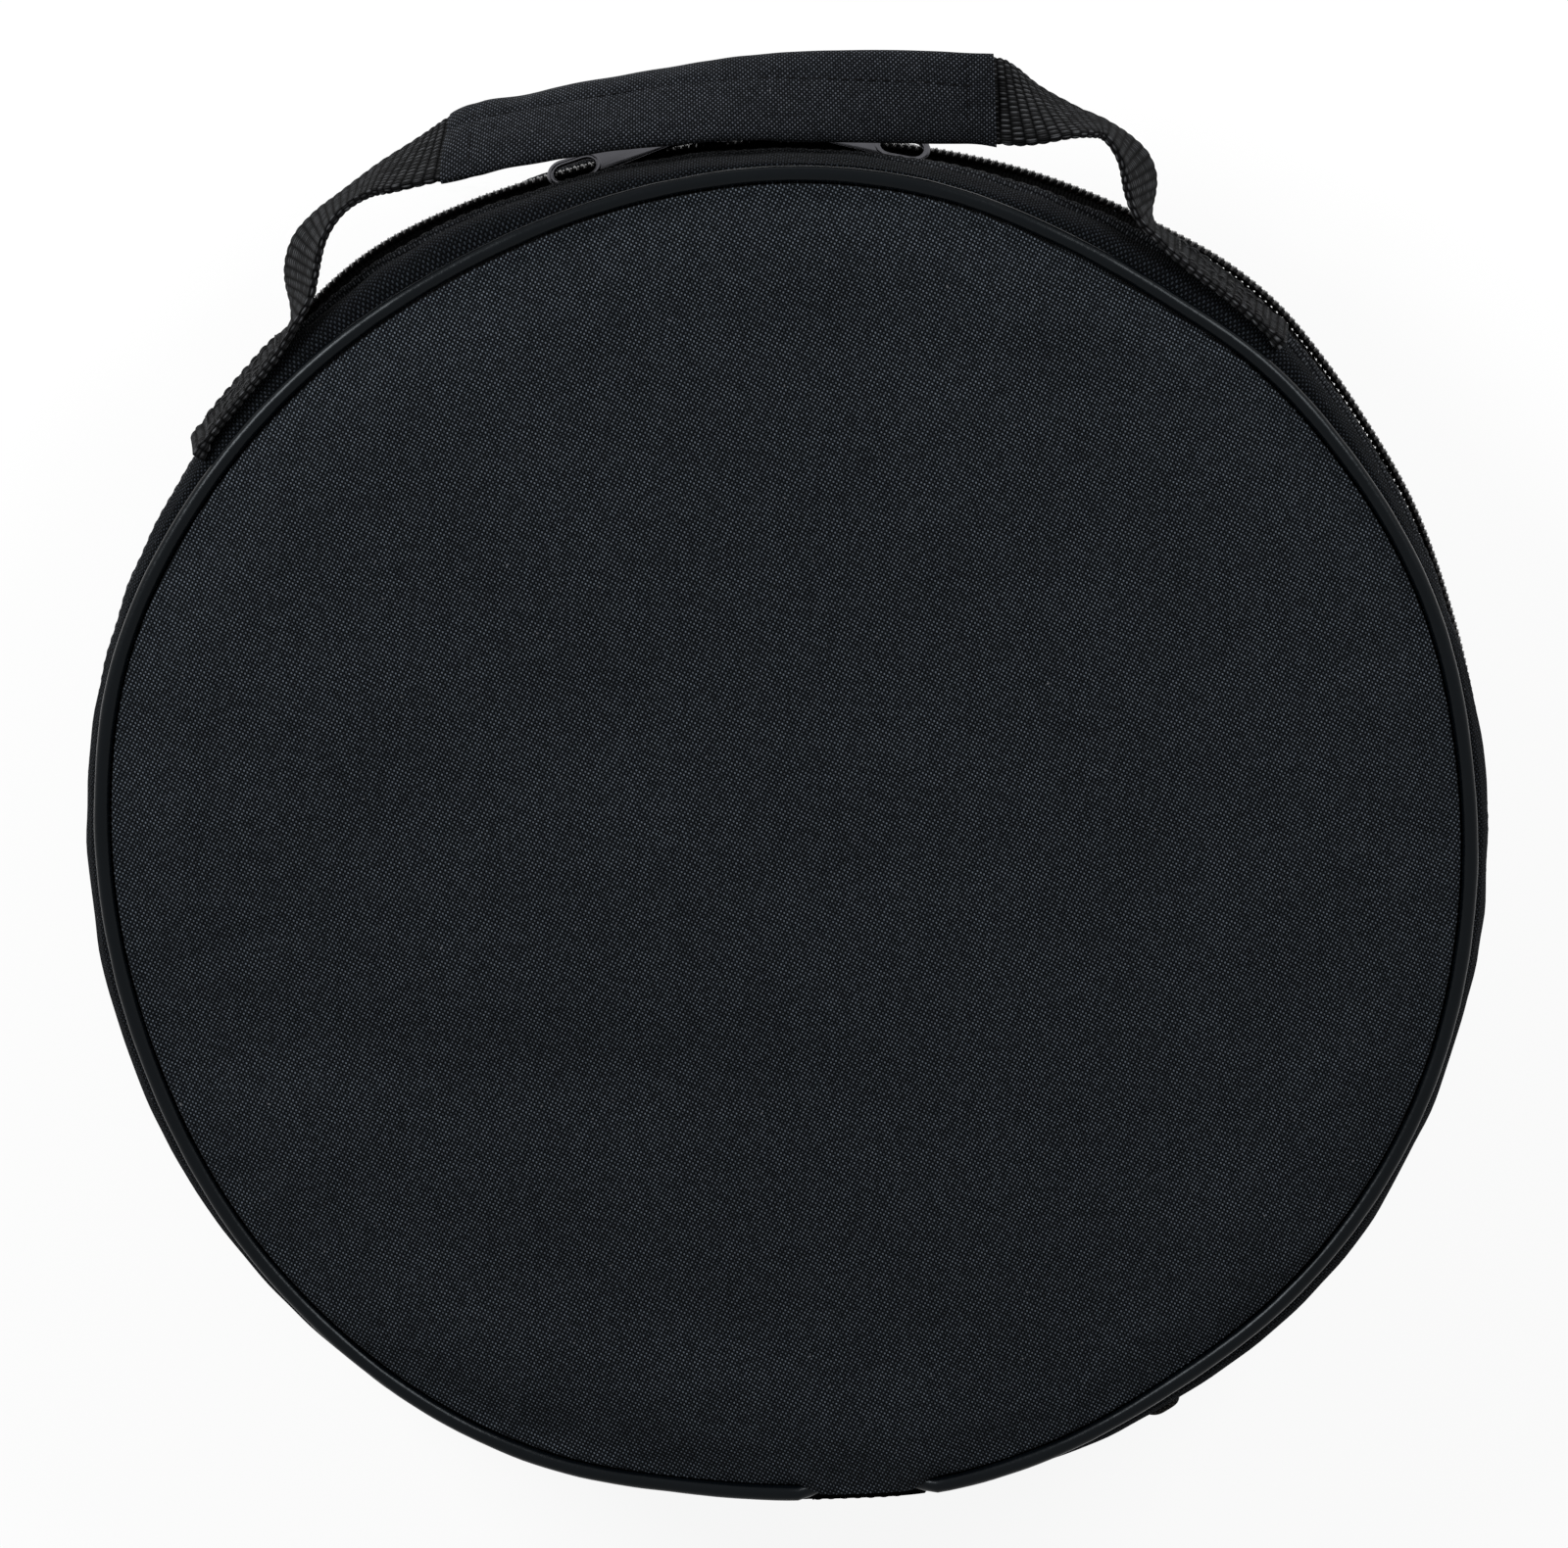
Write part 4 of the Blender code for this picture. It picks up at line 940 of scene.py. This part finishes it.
def make_handle_webbing():
    """Make the handle's one band of webbing, from one sewn end through the sleeve to the other."""
    centres, across, out = route_frames()
    count = len(centres)
    reach, half_thickness = WEBBING_WIDTH / 2, WEBBING_THICKNESS / 2
    section = [(reach * 0.97 * (1 - index / 4), half_thickness) for index in range(9)]
    edge = ((0.995, 0.6), (1.0, 0.0), (0.995, -0.6))
    section += [(-reach * width, half_thickness * lift) for width, lift in edge]
    section += [(-wide, -lift) for wide, lift in section]
    run = np.arange(count) * ROUTE_STEP
    tuck = 1 + 0.7 * np.clip((0.0042 - np.minimum(run, run[::-1])) / 0.0012, 0, 1)
    cup = 0.0004 * ring_noise(np.linspace(0, 330, count), 30, 1.9)
    rib = np.abs(np.sin(math.pi * run / WEBBING_PITCH))
    rings = []
    for wide, lift in section:
        share = abs(wide) / reach
        scallop = 0.0003 * rib * max(share - 0.9, 0) * 10 * math.copysign(1, wide)
        rise = lift * tuck * (0.86 + 0.14 * rib) + cup * (1 - share**2)
        rings.append(centres + across * (wide + scallop)[:, None] + out * rise[:, None])
    webbing = swept("handle_webbing", np.stack(rings, axis=1))
    parts = ("end_left", "end_right", "twist_left", "twist_right", "strap")
    finish_piece(webbing, None, WEBBING_CLOTH, ["handle_" + part for part in parts])
    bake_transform(webbing)


def sleeve_lift(near_end, wide):
    """Return how thick the sleeve is, by the distance to its end and a share of its half width."""
    full = SLEEVE_HALF_THICKNESS * (0.62 + 0.38 * np.clip(near_end / 0.012, 0, 1) ** 0.5)
    round_side = (1 - np.abs(wide) ** 3.2) ** 0.5
    seam = 1 - 0.16 * np.exp(-(((wide - SLEEVE_SEAM_SHARE) / 0.07) ** 2))
    cross = 1 - 0.16 * np.exp(-(((near_end - SLEEVE_CROSS_INSET) / 0.0014) ** 2))
    return full * round_side * seam * cross


def line_noise(run, size, second, third):
    """Return smooth noise along a line, about -0.5 to 0.5, with patches of a size."""
    return np.array([noise.noise(Vector((place / size, second, third))) for place in run])


def band_row(frames, rings, wide, lift):
    """Return a row for stitches at some rings of a band, by how far across and out they lie."""
    centres, across, out = (part[rings] for part in frames)
    places = centres + across * np.reshape(wide, (-1, 1)) + out * np.reshape(lift, (-1, 1))
    return np.stack([places, out], axis=1)


def make_sleeve():
    """Make the padded sleeve round the handle's middle, with its stitches."""
    frames = route_frames()
    along = frames[0][:, 0]
    inside = np.where((along >= SLEEVE_LEFT) & (along <= SLEEVE_RIGHT))[0][::2]
    centres, across, out = (part[inside] for part in frames)
    run = run_along(centres)
    near_end = np.minimum(run, run[-1] - run)
    wides = np.cos(np.linspace(0, math.pi, SLEEVE_SIDES + 1))
    rings = []
    for wide, side in [(wide, 1.0) for wide in wides] + [(wide, -1.0) for wide in wides[-2:0:-1]]:
        lift = sleeve_lift(near_end, wide) * (side if abs(wide) < 0.9999 else 0.0)
        lift += 0.00055 * line_noise(run, 0.009, wide * 1.6, side * 3.0) * side
        edge = SLEEVE_HALF_WIDTH * (1 + 0.014 * line_noise(run, 0.018, side, 4.0))
        rings.append(centres + across * (edge * wide)[:, None] + out * lift[:, None])
    sleeve = swept("handle_sleeve_pad", np.stack(rings, axis=1))
    replaced = ["handle_sleeve", "handle_pad_upper", "handle_pad_lower"]
    finish_piece(sleeve, "handle", SLEEVE_CLOTH, replaced)
    frames = (centres, across, out * math.copysign(1.0, out[-1][2]))
    lines = [(np.arange(4, len(run) - 4, 2), SLEEVE_SEAM_SHARE)]
    for where in (SLEEVE_CROSS_INSET, run[-1] - SLEEVE_CROSS_INSET):
        lines.append((np.full(19, np.argmin(np.abs(run - where))), np.linspace(-0.9, 0.9, 19)))
    rows = []
    for rings, wide in lines:
        lift = sleeve_lift(near_end[rings], wide) + 0.0001
        rows.append(band_row(frames, rings, SLEEVE_HALF_WIDTH * wide, lift))
    seam = stitched("sleeve_stitches", rows, 0.0022, 0.001, 0.00016)
    finish_piece(seam, "handle", DARK_THREAD)


def make_patch_stitches():
    """Make the box stitches that hold the handle's two ends on the gusset."""
    frames = route_frames()
    run = run_along(frames[0])
    reach = WEBBING_WIDTH / 2 - 0.0022
    for name, near, far in (("left", 0.0062, 0.032), ("right", run[-1] - 0.0335, run[-1] - 0.0062)):
        inside = np.where((run >= near) & (run <= far))[0]
        lines = [(inside, -reach), (inside, reach)]
        lines += [(np.full(7, end), np.linspace(-reach, reach, 7)) for end in inside[[0, -1]]]
        lines += [(inside, np.linspace(-side, side, len(inside))) for side in (reach, -reach)]
        rows = [band_row(frames, rings, wide, WEBBING_THICKNESS / 2 + 0.0003) for rings, wide in lines]
        patch = stitched("handle_stitches_" + name, rows, 0.0025, 0.0008, 0.00024)
        finish_piece(patch, "lid", THREAD)


# Hinge and the zip's ends

def finish_at_hinge(piece, material, replaced=()):
    """Finish a piece that spans from the back tray to the lid, riding on neither body."""
    finish_piece(piece, None, material, replaced)
    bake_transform(piece)


def make_hinge_strip():
    """Make the fabric under the zip's two ends, across the hinge."""
    angles = np.linspace(-180 - HINGE_EDGE + 0.2, HINGE_EDGE - 0.2, 60)
    front, back = (fold_radius(half, angles) - TAPE_INSET for half in ("front", "back"))
    outer = []
    for share in np.linspace(0, 1, 15):
        height = TAPE_START_DEPTH + (BAG_DEPTH - 2 * TAPE_START_DEPTH) * share
        sag = HINGE_STRIP_SAG - 0.0003 * ring_noise(angles, 60, height * 400)
        outer.append((back + (front - back) * share - sag * math.sin(math.pi * share), height))
    inner = [(radius - HINGE_STRIP_THICKNESS, height) for radius, height in reversed(outer)]
    strip = swept("hinge_strip_cloth", outline_rings("back", angles, outer + inner))
    finish_at_hinge(strip, GUSSET_CLOTH, ["hinge_strip"])


def patch_radius(angles, height):
    """Return the hinge patch's outer radius, from wall to wall and in over the pipings."""
    half = "front" if height > MIDDLE_HEIGHT else "back"
    back = fold_radius("back", angles)
    wall = back + (fold_radius("front", angles) - back) * height / BAG_DEPTH
    knee = np.clip((0.019 - min(height, BAG_DEPTH - height)) / 0.0105, 0, 1)
    return wall + (piping_radius(half, angles) + 0.0012 - wall) * knee**1.2 + 0.0012


def patch_row(angles, height):
    """Return a row for stitches on the hinge patch, at one height."""
    return ring_row("back", patch_radius(angles, height), height, angles)


def make_hinge_patch():
    """Make the wide webbing sewn across the hinge, with its cut ends and its stitches."""
    angles = BOTTOM + np.degrees(np.linspace(PATCH_LEFT, PATCH_RIGHT, 25) / GUSSET_RING_RADIUS)
    rings = []
    for height in np.linspace(PATCH_MARGIN, BAG_DEPTH - PATCH_MARGIN, 40):
        outer = patch_radius(angles, height)
        inner = polar(outer - WEBBING_THICKNESS, angles, height)
        rings.append(np.concatenate([polar(outer, angles, height), inner[::-1]]))
    finish_at_hinge(swept("hinge_patch_webbing", rings), WEBBING_CLOTH, ["hinge_patch"])
    rows = []
    for low, high in ((0.0125, 0.0215), (BAG_DEPTH - 0.0215, BAG_DEPTH - 0.0125)):
        rows += [patch_row(angles[2:-2], height) for height in (low, high)]
        for index in (2, -3):
            side = [patch_row(angles[[index]], height) for height in np.linspace(low, high, 6)]
            rows.append(np.concatenate(side))
    seam = stitched("hinge_patch_stitches", rows, 0.0024, 0.0008, 0.00024)
    finish_at_hinge(seam, THREAD)


def make_end_tabs():
    """Make the folded fabric tab over each end of the zip."""
    for name, (centre, half_length, stand, square) in END_TABS.items():
        base = float(chain_radius(centre)) - 0.0011
        rings = []
        for share in np.linspace(-1, 1, 33):
            rise = stand * max(1 - abs(share) ** (square if share < 0 else 2.4), 0.0) ** 0.5
            reach = (TAB_HIGH - TAB_LOW) / 2 * (0.72 + 0.28 * rise / stand)
            ring = []
            for cos, sin in circle(20):
                out = base + rise * (0.5 + 0.5 * squared(sin, 0.7))
                ring.append((half_length * share, out, (TAB_LOW + TAB_HIGH) / 2 + reach * squared(cos, 0.6)))
            rings.append(ring)
        tab = swept("zip_end_fold_" + name, rings)
        tab.matrix_world = Matrix.Rotation(math.radians(centre - 90), 4, "Z")
        finish_piece(tab, "root", TAB_CLOTH, ["zip_end_tab_" + name])


# Zip sliders and pulls, made at the top of the bag

def plate(outlines, thickness, bevel):
    """Make a flat plate with bevelled edges from an outline and the outlines of its holes."""
    curve = bpy.data.curves.new("plate", "CURVE")
    curve.dimensions = "2D"
    curve.fill_mode = "BOTH"
    curve.extrude = thickness / 2 - bevel
    curve.bevel_depth = bevel
    curve.bevel_resolution = 2
    curve.offset = -bevel
    for outline in outlines:
        spline = curve.splines.new("POLY")
        spline.points.add(len(outline) - 1)
        for point, (along, across) in zip(spline.points, outline):
            point.co = (along, across, 0.0, 1.0)
        spline.use_cyclic_u = True
    source = linked("plate", curve)
    bpy.context.view_layer.update()
    mesh = bpy.data.meshes.new_from_object(source)
    bpy.data.objects.remove(source)
    return mesh


def mirrored(outline):
    """Return the mirror image of an outline's one half, on the way back to its start."""
    return [(along, -across) for along, across in reversed(outline)]


def rectangle(left, right, low, high):
    """Return the outline of a rectangle."""
    return [(left, low), (right, low), (right, high), (left, high)]


def arc(centre, radius, start, sweep, steps=8):
    """Return points on an arc round a place on the plate's middle line."""
    turns = [start + sweep * index / steps for index in range(steps + 1)]
    return [(centre + radius * math.cos(turn), radius * math.sin(turn)) for turn in turns]


def slot_outline(near, far, half_width):
    """Return a slot with round ends."""
    right = arc(far - half_width, half_width, -math.pi / 2, math.pi)
    return right + arc(near + half_width, half_width, math.pi / 2, math.pi)


def joined(name, parts):
    """Join meshes, each with its matrix, into one object whose cloth places follow the points."""
    build = bmesh.new()
    for mesh, matrix in parts:
        mesh.transform(matrix)
        build.from_mesh(mesh)
    bmesh.ops.remove_doubles(build, verts=build.verts, dist=0.000002)
    mesh = bpy.data.meshes.new(name)
    build.to_mesh(mesh)
    build.free()
    return object_of(name, mesh, np.array([mesh.vertices[loop.vertex_index].co for loop in mesh.loops]), 35)


def upright(side):
    """Return the matrix that stands a plate square to the radius at the top of the bag."""
    return Matrix(((side, 0, 0, 0), (0, 0, 1, 0), (0, 1, 0, 0), (0, 0, 0, 1)))


def finish_on_zip(thing, name, angle, material):
    """Move a piece from the top of the bag to its place on the zip, and finish it."""
    turn = Matrix.Rotation(math.radians(angle - 90), 4, "Z")
    thing.data.transform(Matrix.Translation((0.0, 0.0, MIDDLE_HEIGHT)) @ turn)
    finish_piece(thing, name.replace("zip_", ""), material, [name])


def make_pull(name, side, angle):
    """Make a zip pull with its window and its slot, leaning on the bag."""
    half = [(-0.0008, 0.0029), (0.005, 0.0029), (0.0075, 0.0024)]
    half += arc(PULL_LENGTH - 0.0042, 0.0042, math.pi / 2, -math.pi / 2)
    outline = half + mirrored(half[:-1])
    window = rectangle(0.0008, 0.0046, -0.0016, 0.0016)
    slot = slot_outline(PULL_LENGTH - 0.0124, PULL_LENGTH - 0.0012, 0.0029)
    ring = slot_outline(PULL_LENGTH - 0.0135, PULL_LENGTH - 0.0002, 0.0039)
    lean = Matrix.Rotation(-side * PULL_LEAN, 4, "Z")
    yaw = Matrix.Rotation(-side * PULL_YAW, 4, "Y")
    twist = Matrix.Rotation(PULL_TWIST, 4, "X")
    pivot = Matrix.Translation((side * PULL_PIVOT_SHIFT, PULL_PIVOT_RADIUS, 0.0))
    settle = pivot @ lean @ yaw @ twist @ upright(side)
    flat = plate([outline, window, slot], PULL_THICKNESS, 0.0003)
    rim = plate([ring, slot], PULL_RIM_THICKNESS, 0.0003)
    finish_on_zip(joined(name + "_plate", [(flat, settle), (rim, settle)]), name, angle, PULL_METAL)


def bridge_mesh(side):
    """Return the arched bridge over a slider's top plate."""
    foot = [(0.0038, -0.0004), (0.0037, 0.0016), (0.003, 0.0029), (0.0016, 0.0034)]
    arch = [(-along, lift) for along, lift in foot] + foot[::-1]
    path = np.array(arch) + [0.0, SLIDER_TOP_RADIUS]
    rings = []
    for (x, y), (along_x, along_y) in zip(path, unit(np.gradient(path, axis=0))):
        ring = []
        for cos, sin in circle(10):
            lift = 0.00055 * squared(sin, 0.7)
            ring.append((side * (x - along_y * lift), y + along_x * lift, 0.0012 * squared(cos, 0.7)))
        rings.append(ring)
    points, faces, _ = skin_over(rings)
    return mesh_of("bridge", points, faces)


def make_slider(name, side, angle):
    """Make a zip slider: two bevelled plates and a crown on a post, a flange and the bridge."""
    half = [(-0.0055, 0.0019), (-0.0047, 0.0034), (-0.0027, 0.0042), (0.0038, 0.0042), (0.0055, 0.0033)]
    outline = half + mirrored(half)
    crown = [(along * 0.72, across * 0.62) for along, across in outline]
    post = rectangle(-0.0052, -0.002, -0.0006, 0.0006)
    flange = rectangle(-0.0027, 0.0038, -0.0042, -0.0034)
    parts = []
    for radius, shape, thickness, bevel in (
        (0.1682, outline, 0.0014, 0.0004), (0.169, crown, 0.001, 0.0004), (0.1624, outline, 0.0011, 0.0003),
        (0.1652, post, 0.0062, 0.0001), (0.1664, flange, 0.0036, 0.0001),
    ):
        parts.append((plate([shape], thickness, bevel), Matrix.Translation((0, radius, 0)) @ upright(side)))
    parts.append((bridge_mesh(side), Matrix.Identity(4)))
    finish_on_zip(joined(name + "_body", parts), name, angle, SLIDER_METAL)


# Floor and light

def empty_tree(owner):
    """Return the node tree of a material or world, without its first nodes."""
    owner.use_nodes = True
    owner.node_tree.nodes.clear()
    return owner.node_tree


def seen_ray(tree):
    """Return 1 for rays that show the background, seen straight, mirrored or through glass."""
    rays = add(tree, "LightPath")
    seen = calc(tree, "MAXIMUM", rays["Is Camera Ray"], rays["Is Glossy Ray"])
    return calc(tree, "MAXIMUM", seen, rays["Is Transmission Ray"])


def make_floor():
    """Make the white floor, which keeps a faint shadow."""
    corners = [(x * FLOOR_REACH, y * FLOOR_REACH, 0) for x, y in ((-1, -1), (1, -1), (1, 1), (-1, 1))]
    floor = linked("floor", mesh_of("floor", corners, [range(4)]))
    floor.location.z = -FLOOR_DROP
    material = bpy.data.materials.new("floor_white")
    tree = empty_tree(material)
    matt = add(tree, "BsdfDiffuse", {"Color": (0.95, 0.95, 0.95, 1.0)})[0]
    bright = add(tree, "Emission", {"Color": WHITE, "Strength": 1.0})[0]
    share = calc(tree, "MULTIPLY", seen_ray(tree), FLOOR_GLOW)
    add(tree, "OutputMaterial", {"Surface": add(tree, "MixShader", {0: share, 1: matt, 2: bright})[0]})
    floor.data.materials.append(material)


def make_world():
    """Make a white surround that lights the bag softly."""
    world = bpy.data.worlds.new("surround")
    bpy.context.scene.world = world
    tree = empty_tree(world)
    strength = blend_number(tree, seen_ray(tree), WORLD_LIGHT, 1.0)
    light = add(tree, "Background", {"Color": WHITE, "Strength": strength})[0]
    add(tree, "OutputWorld", {"Surface": light})


def make_lamp(name, place, power):
    """Make a square soft lamp that faces the bag."""
    data = bpy.data.lights.new(name, "AREA")
    data.size = LAMP_SIZE
    data.energy = power
    lamp = linked(name, data)
    lamp.location = place
    lamp.rotation_euler = (Vector(LAMP_AIM) - Vector(place)).to_track_quat("-Z", "Y").to_euler()


TRAY_MAKERS = (
    make_panel, make_piping, make_gusset, make_tape, make_coil, make_coil_core, make_lining, make_wall_pad,
    make_binding, make_ring_stitches,
)
for tray in ("back", "front"):
    for make in TRAY_MAKERS:
        make(tray)
make_hinge_strip()
make_hinge_patch()
make_end_tabs()
make_handle_webbing()
make_sleeve()
make_patch_stitches()
for slider_name, slider_place in SLIDERS.items():
    make_slider("zip_slider_" + slider_name, *slider_place)
    make_pull("zip_pull_" + slider_name, *slider_place)
make_floor()
make_world()
for lamp_name, (lamp_place, lamp_power) in LAMPS.items():
    make_lamp(lamp_name, lamp_place, lamp_power)
bpy.context.scene.view_settings.view_transform = "Standard"
